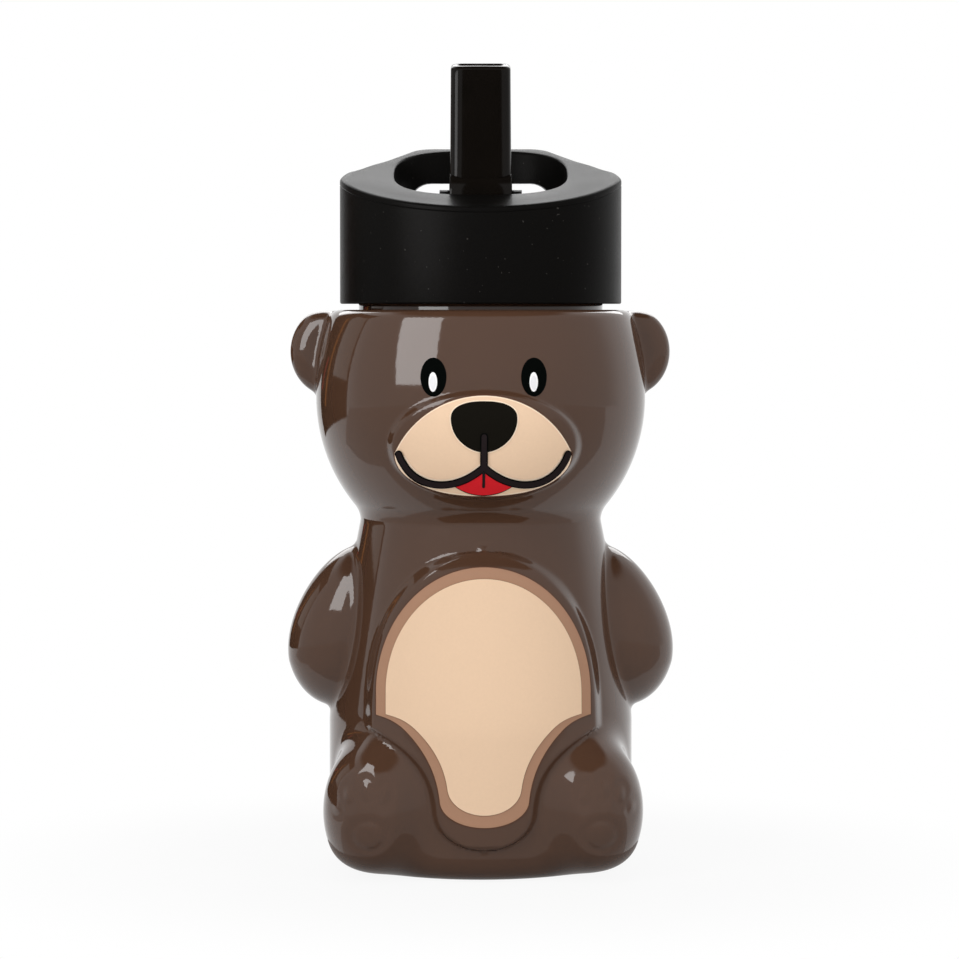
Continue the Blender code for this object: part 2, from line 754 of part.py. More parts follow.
def main():
    clear_scene()
    brown = material("brown_gloss_plastic", (0.105, 0.062, 0.045), 0.12)
    black = material("black_matt_plastic", (0.010, 0.010, 0.010), 0.45)
    gloss_black = material("black_gloss_plastic", (0.008, 0.007, 0.006), 0.12)
    silicone = material("clear_silicone", (0.62, 0.62, 0.60), 0.45)
    straw_plastic = material("straw_plastic", (0.70, 0.71, 0.70), 0.30)

    make_bottle_body(brown)
    gasket_axis = empty("gasket_axis")
    make_gasket(silicone, gasket_axis)
    lid_axis = empty("lid_axis", turn=LID_TURN)
    make_lid_shell(black, lid_axis)
    make_valve(silicone, lid_axis)
    make_seal(silicone, lid_axis)
    make_grommet(silicone, lid_axis)
    make_straw(straw_plastic, lid_axis)
    spout_axis = empty("spout_axis", (0, PIVOT_BACK, PIVOT_HEIGHT), parent=lid_axis)
    make_spout(gloss_black, spout_axis)


main()
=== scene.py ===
# %% [markdown]
# A bear-shaped drinking bottle, dressed for its picture. The frame has every piece at its real size.
# Here come the polished skin, the print, the moulded lid, the threads and a finish for each surface.
# All is in metres, +Z is up, and the bear looks along -Y.

# %% Tools
import math

import bmesh
import bpy
import numpy as np
from mathutils import Matrix, Vector


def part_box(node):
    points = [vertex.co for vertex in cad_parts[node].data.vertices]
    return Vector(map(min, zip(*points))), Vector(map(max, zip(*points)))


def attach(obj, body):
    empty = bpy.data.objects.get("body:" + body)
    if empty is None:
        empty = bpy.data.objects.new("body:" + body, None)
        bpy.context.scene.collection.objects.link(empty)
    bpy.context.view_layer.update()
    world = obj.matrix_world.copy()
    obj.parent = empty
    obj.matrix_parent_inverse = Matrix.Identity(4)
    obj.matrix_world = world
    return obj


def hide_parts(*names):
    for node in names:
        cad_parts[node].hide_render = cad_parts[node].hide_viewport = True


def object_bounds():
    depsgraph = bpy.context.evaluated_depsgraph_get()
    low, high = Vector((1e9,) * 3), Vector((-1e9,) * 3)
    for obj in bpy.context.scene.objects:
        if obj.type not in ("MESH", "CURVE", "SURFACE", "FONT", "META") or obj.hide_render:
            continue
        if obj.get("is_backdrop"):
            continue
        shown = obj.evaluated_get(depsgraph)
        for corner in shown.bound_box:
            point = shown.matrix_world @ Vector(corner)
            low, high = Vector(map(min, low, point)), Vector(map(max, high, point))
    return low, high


# %% [markdown]
# The frame holds the plain solids and the bodies that they ride on. Its box is noted first, because
# nothing that is added later may reach outside it.

# %% Frame
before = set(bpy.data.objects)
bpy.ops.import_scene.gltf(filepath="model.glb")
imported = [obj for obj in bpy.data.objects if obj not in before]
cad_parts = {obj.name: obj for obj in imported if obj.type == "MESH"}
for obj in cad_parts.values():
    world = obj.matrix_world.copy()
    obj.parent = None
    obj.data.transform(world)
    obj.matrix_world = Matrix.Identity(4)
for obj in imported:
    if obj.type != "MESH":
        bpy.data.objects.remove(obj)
cad_low, cad_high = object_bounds()
NECK_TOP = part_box("bottle_body")[1][2]
LID_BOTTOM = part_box("lid_shell")[0][2]
SPOUT_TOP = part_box("spout")[1][2]
print("frame", len(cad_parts), "nodes, height", round(cad_high[2] * 1000, 1), "mm")

# %% [markdown]
# The camera stands in the photograph's own place: level with the gap under the lid, 0.95 m in front
# and a degree and a half to the bear's right.

# %% Camera
CAMERA_AWAY = 0.95
CAMERA_HEIGHT = 0.1434
CAMERA_YAW = math.radians(1.5)
PICTURE_WIDTH = 0.2474
AIM = Vector((-0.0003, 0.0, 0.0990))
SENSOR = 36.0

lens = bpy.data.cameras.new("camera")
lens.sensor_width = SENSOR
lens.lens = SENSOR * CAMERA_AWAY / PICTURE_WIDTH
lens.clip_end = 20
camera = bpy.data.objects.new("camera", lens)
bpy.context.scene.collection.objects.link(camera)
camera.location = (
    -CAMERA_AWAY * math.sin(CAMERA_YAW),
    -CAMERA_AWAY * math.cos(CAMERA_YAW),
    CAMERA_HEIGHT,
)
camera.rotation_euler = (AIM - camera.location).to_track_quat("-Z", "Y").to_euler()
bpy.context.scene.camera = camera
bpy.context.scene.view_settings.view_transform = "Standard"
print("lens", round(lens.lens, 1), "mm")

# %% [markdown]
# A finish is a material whose nodes are written as sums. `Wire` wraps a node's output, so that
# `0.3 + 0.1 * grain` adds the Math nodes by itself. `node` makes any other node.

# %% Shader arithmetic


class Wire:
    """An output of a node, which can be added and multiplied."""

    def __init__(self, owner, socket):
        self.owner = owner
        self.socket = socket

    def maths(self, operation, other):
        return self.owner.node("ShaderNodeMath", {"operation": operation}, {0: self, 1: other})

    def __add__(self, other):
        return self.maths("ADD", other)

    def __mul__(self, other):
        return self.maths("MULTIPLY", other)

    __radd__ = __add__
    __rmul__ = __mul__


class Nodes:
    """The nodes of a material or of the world."""

    def __init__(self, tree):
        self.tree = tree

    def feed(self, socket, value):
        if isinstance(value, Wire):
            self.tree.links.new(value.socket, socket)
        else:
            socket.default_value = value

    def node(self, kind, settings=None, values=None, output=0):
        made = self.tree.nodes.new(kind)
        for key, value in (settings or {}).items():
            setattr(made, key, value)
        for key, value in (values or {}).items():
            self.feed(made.inputs[key], value)
        return Wire(self, made.outputs[output])

    def rise(self, value, start, end, low=0.0):
        """Goes smoothly from low to 1 as the value goes from start to end."""
        values = {"Value": value, "From Min": start, "From Max": end, "To Min": low}
        return self.node("ShaderNodeMapRange", {"interpolation_type": "SMOOTHSTEP"}, values)

    def ray(self, kind):
        return self.node("ShaderNodeLightPath", output=f"Is {kind} Ray")


class Finish(Nodes):
    """A material on a Principled BSDF. Words given by name set sockets that stay the same all over."""

    def __init__(self, name, colour, roughness, **constants):
        self.material = bpy.data.materials.new(name)
        self.material.use_nodes = True
        super().__init__(self.material.node_tree)
        self.shader = self.tree.nodes["Principled BSDF"]
        self.set("Base Color", (*colour, 1.0))
        self.set("Roughness", roughness)
        for name_of_socket, value in constants.items():
            self.set(name_of_socket.replace("_", " "), value)

    def set(self, name, value):
        self.feed(self.shader.inputs[name], value)

    def place(self):
        return self.node("ShaderNodeTexCoord", output="Object")

    def grain(self, scale, detail=2.0, roughness=0.5):
        values = {"Vector": self.place(), "Scale": scale, "Detail": detail, "Roughness": roughness}
        return self.node("ShaderNodeTexNoise", {}, values)

    def colours(self, mask, first, second):
        """Lets the colour go from the first to the second as the mask goes from 0 to 1."""
        values = {"Factor": mask, 6: (*first, 1.0), 7: (*second, 1.0)}
        self.set("Base Color", self.node("ShaderNodeMix", {"data_type": "RGBA"}, values, output=2))

    def bump(self, height, strength, distance):
        values = {"Height": height, "Strength": strength, "Distance": distance}
        self.set("Normal", self.node("ShaderNodeBump", {}, values))


def linear(*shades):
    """A colour as a picture editor gives it, 0 to 255, turned into the light that it stands for."""
    shares = [shade / 255 for shade in shades]
    return tuple(s / 12.92 if s <= 0.04045 else ((s + 0.055) / 1.055) ** 2.4 for s in shares)


# %% [markdown]
# The bear is blown from brown plastic as glossy as glazed pottery. Its colour hardly varies, and a
# slow wave in the surface bends what it mirrors, as on every blown bottle.

# %% Brown blown plastic
brown = Finish("brown_blown_plastic", linear(78, 54, 40), 0.06, Coat_Roughness=0.03, IOR=1.47)
cloud = brown.grain(38, detail=3)
brown.colours(cloud, linear(80, 56, 42), linear(74, 51, 38))
brown.set("Roughness", 0.035 + 0.05 * brown.grain(160))
brown.set("Coat Weight", 0.05 + 0.1 * cloud)
brown.bump(brown.grain(26, detail=1) + 0.02 * brown.grain(900), 0.25, 0.0012)

# %% [markdown]
# The lid is moulded in black plastic with a fine spark-eroded grain, which keeps it matt. A slower
# cloud changes the roughness, as handling does, and a few pale specks of dust sit on it.

# %% Matt black plastic
black = Finish("matt_black_plastic", linear(12, 11, 10), 0.34, Specular_IOR_Level=0.035)
dust = black.grain(1300, detail=0).maths("GREATER_THAN", 0.84)
wear = black.grain(55, detail=4)
black.colours(dust * 0.5, linear(12, 11, 10), linear(70, 68, 65))
black.set("Roughness", 0.28 + 0.12 * wear)
black.bump(black.grain(2600, detail=3, roughness=0.7), 0.35, 0.00012)

# %% [markdown]
# The spout is the same plastic without the grain: a polished mould makes it shine. A faint swirl of
# use changes its colour and its roughness.

# %% Polished black plastic
polished = Finish("polished_black_plastic", linear(7, 5, 4), 0.12, Specular_IOR_Level=0.15)
swirl = polished.grain(120, detail=4)
polished.colours(swirl, linear(12, 10, 8), linear(18, 14, 11))
polished.set("Roughness", 0.07 + 0.10 * swirl)
polished.bump(polished.grain(90), 0.12, 0.0003)

# %% [markdown]
# Silicone seals are milky, with a faint bloom: light goes into them and comes out soft. The straw
# is a satin white tube, a little clearer, with faint flow lines.

# %% Silicone and straw
MILK = {"Subsurface_Scale": 0.002}
silicone = Finish("milky_silicone", linear(205, 205, 200), 0.45, Subsurface_Weight=0.3, **MILK)
bloom = silicone.grain(400, detail=3)
silicone.colours(bloom, linear(212, 212, 208), linear(190, 190, 184))
silicone.set("Roughness", 0.38 + 0.15 * bloom)
silicone.bump(silicone.grain(1800), 0.15, 0.0001)

satin = Finish("satin_straw_plastic", linear(214, 216, 214), 0.28, Subsurface_Weight=0.2, **MILK)
flow = satin.node(
    "ShaderNodeTexWave",
    {"bands_direction": "X"},
    {"Vector": satin.place(), "Scale": 700.0, "Distortion": 3.0, "Detail": 2.0},
    output=1,
)
satin.colours(flow, linear(218, 220, 218), linear(206, 209, 207))
satin.set("Roughness", 0.22 + 0.12 * flow)
satin.bump(flow, 0.08, 0.0001)

# %% [markdown]
# The face and the belly are printed with opaque inks, less shiny than the bottle under them. Each
# has the fine mottle of a screen print, in its colour and in its roughness.

# %% Printing inks


def ink(name, *shade):
    colour = linear(*shade)
    made = Finish(name, colour, 0.5, Specular_IOR_Level=0.0)
    mottle = made.grain(1400)
    darker = [0.965 * part for part in colour]
    lighter = [min(1.015 * part + 0.0004, 1) for part in colour]
    made.colours(mottle, darker, lighter)
    made.set("Roughness", 0.45 + 0.1 * mottle)
    made.bump(mottle, 0.05, 0.00005)
    return made.material


beige_ink = ink("beige_ink", 229, 198, 168)
# The face's beige is the belly's beige painted lighter: painted light, because the muzzle faces down and
# gets less light than the belly.
face_ink_painted_lighter = ink("face_ink_painted_lighter", 238, 206, 175)
tan_ink = ink("tan_ink", 168, 130, 106)
rim_ink = ink("pale_rim_ink", 250, 226, 200)
line_ink = ink("brown_line_ink", 88, 58, 44)
fine_line_ink = ink("fine_line_ink", 136, 100, 80)
dark_ink = ink("mouth_ink", 37, 31, 32)
nose_ink = ink("nose_ink", 23, 21, 17)
eye_ink = ink("eye_ink", 7, 9, 8)
white_ink = ink("white_ink", 250, 250, 250)
grey_ink = ink("grey_ink", 238, 238, 240)
red_ink = ink("tongue_ink", 212, 38, 46)
print("finishes", len(bpy.data.materials))

# %% [markdown]
# The bear's form is a distance: a function that says how far each of many points lies outside the
# surface. Egg shapes give its parts, and `blend` joins two of them with a fillet. The sizes are the
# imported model's, with finer fillets.

# %% Sizes of the bear
SHOULDER = 0.1428
CREASE_HEIGHT = 0.0888
COLLAR_HEIGHT = 0.0042
COLLAR_RADIUS = 0.0314
NECK_RADIUS = 0.0305
MOUTH_RADIUS = 0.0286
WALL = 0.0017
ARM_EXTRA_WALL = 0.0030
HOLLOW_FILLET = 0.0060
HEEL_ROUNDING = 0.0080
SHOULDER_ROUNDING = 0.0022
FOOT_RING_RADIUS = 0.0270
PUSH_UP_HEIGHT = 0.0036

HEAD_RADIUS = 0.0424
HEAD_HEIGHT = SHOULDER - 0.0224
HEAD_BELOW = 0.0432
HEAD_ABOVE = 0.0520
MUZZLE_HEIGHT = HEAD_HEIGHT - 0.0112
MUZZLE_HALF_WIDTH = 0.0246
MUZZLE_HALF_HEIGHT = 0.0140
MUZZLE_RISE = 0.0024
EAR_CENTRE = np.array((0.0391, 0.0035, HEAD_HEIGHT + 0.0116))
EAR_SIZE = np.array((0.0100, 0.0052, 0.0113))

HIP_RADIUS = 0.0391
HIP_HEIGHT = 0.0374
CHEST_RADIUS = 0.0310
BELLY_RISE = 0.0019
BELLY_EDGE = 0.0012
BELLY_TOP_EDGE = 0.0015
BELLY_HALF_WIDTH = 0.0290
BELLY_TOP = 0.0824
BELLY_CORNER = 0.0381
BELLY_BOTTOM = 0.0085
BELLY_TAIL = 0.0125
BELLY_FLARE_POWER = 3.8
ARM_CENTRE = np.array((0.0341, -0.0005, 0.0615))
ARM_SIZE = np.array((0.0142, 0.0144, 0.0213))
ARM_TILT = math.radians(15)
ARM_TAPER = 0.16
FOOT_CENTRE = np.array((0.0264, -0.0252, 0.0167))
FOOT_SIZE = np.array((0.0140, 0.0168, 0.0190))

ARM_FILLET = 0.0018
FOOT_FILLET = 0.0060
EAR_FILLET = 0.0018
NECK_FILLET = 0.0016
EAR_FLAT = 0.0038
EAR_EDGE = 0.0012
EAR_DISH = 0.0005
EAR_RIM = 0.66
PAW_DEPTH = 0.00034
PAW_EDGE = 0.0010
MIRROR = np.array((-1.0, 1.0, 1.0))

# %% Forms and how they blend


def ellipsoid(points, centre, size):
    scaled = np.linalg.norm((points - centre) / size, axis=1)
    slope = np.linalg.norm((points - centre) / np.square(size), axis=1)
    return scaled * (scaled - 1) / np.maximum(slope, 1e-6)


def blend(first, second, width):
    """The union of two forms, with a fillet of about this width where they meet."""
    near = np.maximum(width - np.abs(first - second), 0) / width
    return np.minimum(first, second) - near * near * width / 4


def trim(first, second, width):
    """What lies inside both forms, with an edge rounded over this width."""
    return -blend(-first, -second, width)


def full_turn(steps):
    return np.linspace(0, 2 * math.pi, steps, endpoint=False)


def ramp(values, start, end):
    """0 before start and 1 after end, with a smooth rise between."""
    along = np.clip((values - start) / (end - start), 0, 1)
    return along * along * (3 - 2 * along)


# %% [markdown]
# The head is half an egg under half of a taller one. The muzzle is a low lens that rises out of it
# with a soft step. The ears are thin eggs, flat in front and hollowed a little there.

# %% Head, muzzle and ears


def bowl(points):
    height = points[:, 2] - HEAD_HEIGHT
    reach = np.where(height > 0, HEAD_ABOVE, HEAD_BELOW)
    squashed = np.stack((points[:, 0], points[:, 1], height / reach * HEAD_RADIUS), axis=1)
    return ellipsoid(squashed, np.zeros(3), np.full(3, HEAD_RADIUS))


def muzzle_rise(points):
    across = points[:, 0] / MUZZLE_HALF_WIDTH
    up = (points[:, 2] - MUZZLE_HEIGHT) / MUZZLE_HALF_HEIGHT
    inside = 1 - across**2 - up**2
    rise = MUZZLE_RISE * (0.62 * ramp(inside, 0, 0.17) + 0.38 * ramp(inside, 0, 1))
    return np.where(points[:, 1] < 0, rise, 0)


def ear(points):
    local = (points - EAR_CENTRE) / EAR_SIZE
    across = np.hypot(local[:, 0], local[:, 2])
    dish = np.where(local[:, 1] < 0, EAR_DISH * (1 - ramp(across, 0.10, EAR_RIM)), 0)
    flat_front = EAR_CENTRE[1] - EAR_FLAT - points[:, 1]
    return trim(ellipsoid(points, EAR_CENTRE, EAR_SIZE), flat_front, EAR_EDGE) + dish


# %% [markdown]
# The torso is a cone with a curved side. On its front stands the belly panel: an arch over a narrow
# tail. The arms are eggs that lean outwards and are fuller at the hand. The feet are eggs too, each
# with a paw pressed into its sole.

# %% Torso, arms and feet


def panel_inside(points):
    """How far a point lies inside the belly panel's outline."""
    across = np.abs(points[:, 0])
    height = points[:, 2]
    rise = np.clip(height - BELLY_CORNER, 0, None) / (BELLY_TOP - BELLY_CORNER)
    arch_edge = BELLY_HALF_WIDTH * np.sqrt(np.clip(1 - rise**2.6, 0, 1))
    arch = np.minimum(arch_edge - across, BELLY_TOP - height)
    above = np.clip(height - BELLY_BOTTOM, 0, None) / (BELLY_CORNER - BELLY_BOTTOM)
    flare = (BELLY_HALF_WIDTH - BELLY_TAIL) * above**BELLY_FLARE_POWER
    end = np.sqrt(np.clip(1 - np.clip(1 - above * 3.2, 0, 1) ** 2, 0, 1))
    tail = np.minimum(BELLY_TAIL * end + flare - across, height - BELLY_BOTTOM)
    return np.where(height > BELLY_CORNER, arch, tail)


def torso(points, rise=BELLY_RISE):
    reach = np.hypot(points[:, 0], points[:, 1])
    along = (points[:, 2] - HIP_HEIGHT) / (CREASE_HEIGHT - HIP_HEIGHT)
    radius = HIP_RADIUS - (HIP_RADIUS - CHEST_RADIUS) * np.clip(along, 0, 1) ** 1.25
    edge = BELLY_EDGE + BELLY_TOP_EDGE * ramp(points[:, 2], BELLY_TOP - 0.016, BELLY_TOP - 0.003)
    panel = rise * ramp(panel_inside(points), -edge, edge)
    side = reach - radius - np.where(points[:, 1] < 0, panel, 0)
    return np.maximum(side, points[:, 2] - HEAD_HEIGHT)


def arm(points):
    local = points - ARM_CENTRE
    up = -local[:, 0] * math.sin(ARM_TILT) + local[:, 2] * math.cos(ARM_TILT)
    out = local[:, 0] * math.cos(ARM_TILT) + local[:, 2] * math.sin(ARM_TILT)
    slim = 1 + ARM_TAPER * np.clip(up / ARM_SIZE[2], -0.6, 1)
    upright = np.stack((out * slim, local[:, 1] * slim, up), axis=1)
    return ellipsoid(upright, np.zeros(3), ARM_SIZE)


PADS = (
    (0.0250, 0.0226, 0.0017, 0.0026),
    (0.0295, 0.0236, 0.0018, 0.0028),
    (0.0338, 0.0222, 0.0016, 0.0025),
    (0.0368, 0.0190, 0.0013, 0.0020),
    (0.0290, 0.0124, 0.0042, 0.0038),
)


def paw(points):
    """How deep the paw is pressed in at each point: a groove round every pad."""
    depth = np.zeros(len(points))
    for x, z, half_width, half_height in PADS:
        reach = np.hypot((points[:, 0] - x) / half_width, (points[:, 2] - z) / half_height)
        groove = PAW_DEPTH * np.exp(-(((reach - 1) * half_width / PAW_EDGE) ** 2))
        depth = np.maximum(depth, groove * (1 - 0.6 * ramp(points[:, 0], 0.033, 0.040)))
    return np.where(points[:, 1] < FOOT_CENTRE[1], depth, 0)


def foot(points):
    return ellipsoid(points, FOOT_CENTRE, FOOT_SIZE) + paw(points)


# %% [markdown]
# Now the parts become one bear, cut level at the neck and rounded at the heel. The hollow follows
# them a wall further in.

# %% The whole bear


def figure(points):
    both = (points, points * MIRROR)
    body = torso(points)
    for form, fillet in ((foot, FOOT_FILLET), (arm, ARM_FILLET)):
        for side in both:
            body = blend(body, form(side), fillet)
    top = bowl(points) - muzzle_rise(points)
    for side in both:
        top = blend(top, ear(side), EAR_FILLET)
    return blend(body, top, NECK_FILLET)


def bear(points):
    body = trim(figure(points), points[:, 2] - SHOULDER, SHOULDER_ROUNDING)
    return trim(body, -points[:, 2], HEEL_ROUNDING)


def hollow(points):
    """The space inside: a wall in from the form without its panel, and less far in the arms."""
    body = torso(points, rise=0)
    for side in (points, points * MIRROR):
        body = blend(body, foot(side) + WALL, HOLLOW_FILLET)
        body = blend(body, arm(side) + ARM_EXTRA_WALL, HOLLOW_FILLET)
    return np.minimum(body, bowl(points)) + WALL


# %% [markdown]
# From form to mesh in three moves. A loft of rings gives the rough shape. A voxel remesh turns it
# into even squares. Last, every point slides along the form's slope until it lies exactly on the
# surface, so the gloss shows no facets.

# %% Mesh helpers


def slope_of(form, points, step=2e-5):
    """Which way the form rises fastest at each point."""
    rises = [form(points + shift) - form(points - shift) for shift in np.eye(3) * step]
    return np.stack(rises, axis=1) / (2 * step)


def settle(points, form, longest_step=0.0010, rounds=8):
    """Slides points along the slope until they lie on the surface of the form."""
    for _ in range(rounds):
        slope = slope_of(form, points)
        move = -slope * (form(points) / np.maximum((slope**2).sum(1), 1e-4))[:, None]
        length = np.maximum(np.linalg.norm(move, axis=1), 1e-9)
        points = points + move * np.minimum(1, longest_step / length)[:, None]
    return points


def last_true(near, far, test, rounds=24):
    """Finds where, on the way from near to far, the test stops holding."""
    for _ in range(rounds):
        middle = (near + far) / 2
        holds = test(middle)
        near = np.where(holds, middle, near)
        far = np.where(holds, far, middle)
    return (near + far) / 2


def level_ring(angles, reach, height):
    return np.stack(np.broadcast_arrays(reach * np.cos(angles), reach * np.sin(angles), height), axis=1)


def reach_of(form, angles, height):
    """How far out from the axis the form goes at this height, for each angle."""
    return last_true(0.0, 0.080, lambda reach: form(level_ring(angles, reach, height)) < 1e-7)


def smooth_out(mesh, angle):
    mesh.shade_smooth()
    mesh.set_sharp_from_angle(angle=math.radians(angle))


def link(name, mesh, finish=None, smooth=40):
    made = bpy.data.objects.new(name, mesh)
    bpy.context.scene.collection.objects.link(made)
    if finish:
        mesh.materials.append(finish)
    smooth_out(mesh, smooth)
    return made


def grid_mesh(name, rows, finish=None, around=True, caps=(0, -1), smooth=40):
    """Joins rows of points into a skin. `around` closes each row, `caps` fills the rows it names."""
    shape = bmesh.new()
    lines = [[shape.verts.new(point) for point in row] for row in rows]
    count = len(lines[0])
    for low, high in zip(lines, lines[1:]):
        for i in range(count if around else count - 1):
            j = (i + 1) % count
            shape.faces.new((low[i], low[j], high[j], high[i]))
    for cap in caps:
        shape.faces.new(lines[cap])
    bmesh.ops.remove_doubles(shape, verts=shape.verts, dist=2e-6)
    bmesh.ops.recalc_face_normals(shape, faces=shape.faces)
    mesh = bpy.data.meshes.new(name)
    shape.to_mesh(mesh)
    shape.free()
    return link(name, mesh, finish, smooth)


def bake(thing):
    """Turns what the modifiers make into the thing's own mesh."""
    bpy.context.view_layer.update()
    mesh = bpy.data.meshes.new_from_object(thing.evaluated_get(bpy.context.evaluated_depsgraph_get()))
    thing.modifiers.clear()
    thing.data = mesh


JOIN = "UNION"
CUT = "DIFFERENCE"


def carve(thing, *steps, smooth=40):
    """Joins and cuts closed shapes, each given as (shape, JOIN or CUT)."""
    for tool, operation in steps:
        step = thing.modifiers.new(tool.name, "BOOLEAN")
        step.solver = "MANIFOLD"
        step.operation = operation
        step.object = tool
    bake(thing)
    for tool, _ in steps:
        bpy.data.objects.remove(tool)
    smooth_out(thing.data, smooth)


def turned(name, outline, sides, place=(0.0, 0.0)):
    """Turns an outline of (radius, height) points round an upright axis and closes both ends."""
    angles = full_turn(sides)
    return grid_mesh(name, [level_ring(angles, r, z) + (*place, 0.0) for r, z in outline])


# %% Skin of the bear
SKIN_CELL = 0.00062
COLUMNS = full_turn(120)

rings = [
    level_ring(COLUMNS, reach_of(bear, COLUMNS, height), height)
    for height in np.linspace(0.0002, SHOULDER - 0.0002, 110)
]
bottle = grid_mesh("bear_bottle", rings, brown.material)
remesh = bottle.modifiers.new("even_squares", "REMESH")
remesh.mode = "VOXEL"
remesh.voxel_size = SKIN_CELL
bake(bottle)
skin = settle(np.array([vertex.co for vertex in bottle.data.vertices]), bear)
bottle.data.vertices.foreach_set("co", skin.astype(np.float32).ravel())
print("skin", len(skin), "points")

# %% [markdown]
# The neck is turned: a collar under the lid, a straight neck and a rolled lip. Its thread fades out
# at both ends. Then the hollow is cut, with its mouth, and the dome pushed up into the base.

# %% Neck, thread and hollow
THREAD_PITCH = 0.0045
THREAD_END = 2 * math.pi * 1.25
THREAD_FADE = 0.35
THREAD_DEPTH = 0.0012
THREAD_HALF_HEIGHT = 0.0010
THREAD_SECTION = ((-0.4, -1.0), (0.55, -0.7), (1.0, -0.25), (1.0, 0.25), (0.55, 0.7), (-0.4, 1.0))
THREAD_START = SHOULDER + COLLAR_HEIGHT + 0.0030
LIP_ROUNDING = 0.0005


def ridge(name, radius, depth, start):
    """A thread on a wall of this radius. It stands inwards where the depth is negative."""
    rows = []
    for turn in np.linspace(0, THREAD_END, 130):
        fade = min(1.0, turn / THREAD_FADE, (THREAD_END - turn) / THREAD_FADE)
        tall = depth * (0.1 + 0.9 * fade)
        height = start + THREAD_PITCH * turn / (2 * math.pi)
        out_there = Vector((math.cos(turn), math.sin(turn), 0))
        rows.append([
            out_there * (radius + out * tall) + Vector((0, 0, height + up * THREAD_HALF_HEIGHT))
            for out, up in THREAD_SECTION
        ])
    return grid_mesh(name, rows)


collar_top = SHOULDER + COLLAR_HEIGHT
neck_outline = [
    (COLLAR_RADIUS - 0.001, SHOULDER - 0.0015),
    (COLLAR_RADIUS, SHOULDER - 0.0010),
    (COLLAR_RADIUS, collar_top - LIP_ROUNDING),
    (COLLAR_RADIUS - LIP_ROUNDING, collar_top),
    (NECK_RADIUS, collar_top + 0.0002),
    (NECK_RADIUS, NECK_TOP - LIP_ROUNDING),
    (NECK_RADIUS - LIP_ROUNDING * 0.3, NECK_TOP - LIP_ROUNDING * 0.3),
    (NECK_RADIUS - LIP_ROUNDING, NECK_TOP),
]
inner_heights = np.linspace(PUSH_UP_HEIGHT + WALL, SHOULDER - WALL, 60)
inner_sizes = [
    (reach_of(hollow, COLUMNS, z) - WALL * (1 - ramp(z - inner_heights[0], 0, 2 * WALL)), z)
    for z in inner_heights
]
inner_sizes += [
    (MOUTH_RADIUS, SHOULDER - WALL),
    (MOUTH_RADIUS, NECK_TOP - LIP_ROUNDING),
    (MOUTH_RADIUS + LIP_ROUNDING, NECK_TOP + 0.0002),
]
dome_outline = [(FOOT_RING_RADIUS, -0.002)] + [
    (FOOT_RING_RADIUS * math.sqrt(1 - s * s * 0.996), PUSH_UP_HEIGHT * s**2) for s in np.linspace(0, 1, 14)
]
carve(
    bottle,
    (turned("neck", neck_outline, 160), JOIN),
    (ridge("neck_thread", NECK_RADIUS, THREAD_DEPTH, THREAD_START), JOIN),
    (grid_mesh("cavity", [level_ring(COLUMNS, reach, z) for reach, z in inner_sizes]), CUT),
    (turned("dome", dome_outline, 96), CUT),
    smooth=45,
)
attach(bottle, "bottle")
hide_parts("bottle_body")
print("bottle", len(bottle.data.polygons), "faces")

# %% [markdown]
# A print is a thin skin that stands 0.09 mm out for each layer. Its outline is drawn flat, as seen
# from the front, and filled with rings that shrink towards a middle point. Then each point is pushed
# back until it meets the bear.

# %% Printing on the bear
INK_LIFT = 0.00009


def lay_on(flat, layer):
    """Lays flat (across, height) points on the front of the bear, lifted by so many layers of ink."""

    def at(depth):
        return np.stack(np.broadcast_arrays(flat[:, 0], depth, flat[:, 1]), axis=1)

    points = at(last_true(-0.060, -0.010, lambda depth: bear(at(depth)) > 0))
    slope = slope_of(bear, points)
    slope /= np.linalg.norm(slope, axis=1)[:, None]
    return points + slope * INK_LIFT * layer


def print_skin(name, rows, layer, finish, **closing):
    patch = grid_mesh(name, [lay_on(row, layer) for row in rows], finish, **closing)
    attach(patch, "bottle")
    patch.data.shade_smooth()


def print_patch(name, outline, middle, layer, finish, rings=18):
    middle = np.array(middle)
    rows = [middle + (np.array(outline) - middle) * share for share in np.linspace(1, 0.02, rings)]
    print_skin(name, rows, layer, finish, caps=(-1,))


def print_line(name, path, width, layer, finish):
    """A printed line of even width with round ends, through the points of a path."""
    path = np.array(path)
    along = np.gradient(path, axis=0)
    along /= np.linalg.norm(along, axis=1)[:, None]
    side = np.stack((-along[:, 1], along[:, 0]), axis=1)
    turns = np.linspace(0, math.pi / 2, 6)[1:-1, None]
    out = np.sin(turns) * width / 2
    half = np.cos(turns) * width / 2
    centres = np.concatenate((path[0] - along[0] * out[::-1], path, path[-1] + along[-1] * out))
    halves = np.concatenate((half[::-1], np.full((len(path), 1), width / 2), half))
    sides = np.pad(side, ((len(turns), len(turns)), (0, 0)), mode="edge")
    rows = [centres + sides * halves * share for share in np.linspace(-1, 1, 6)]
    print_skin(name, rows, layer, finish, around=False, caps=())


# %% [markdown]
# The belly print is an arch over a narrow tail, like the panel under it: a tan border round a bare
# beige field, each edged by a thin brown line.

# %% Belly print
PRINT_ACROSS = -0.0001
BELLY_MIDDLE = (PRINT_ACROSS, 0.0430)
ARCH_LIFT = 0.0054
TAIL_ROUNDING = 0.0062
EDGE_LINE = 0.00022
belly_tan = (0.0268, 0.0787, 0.0415, 0.0108, 0.0143)
belly_beige = (0.0243, 0.0758, 0.0418, 0.0088, 0.0174)


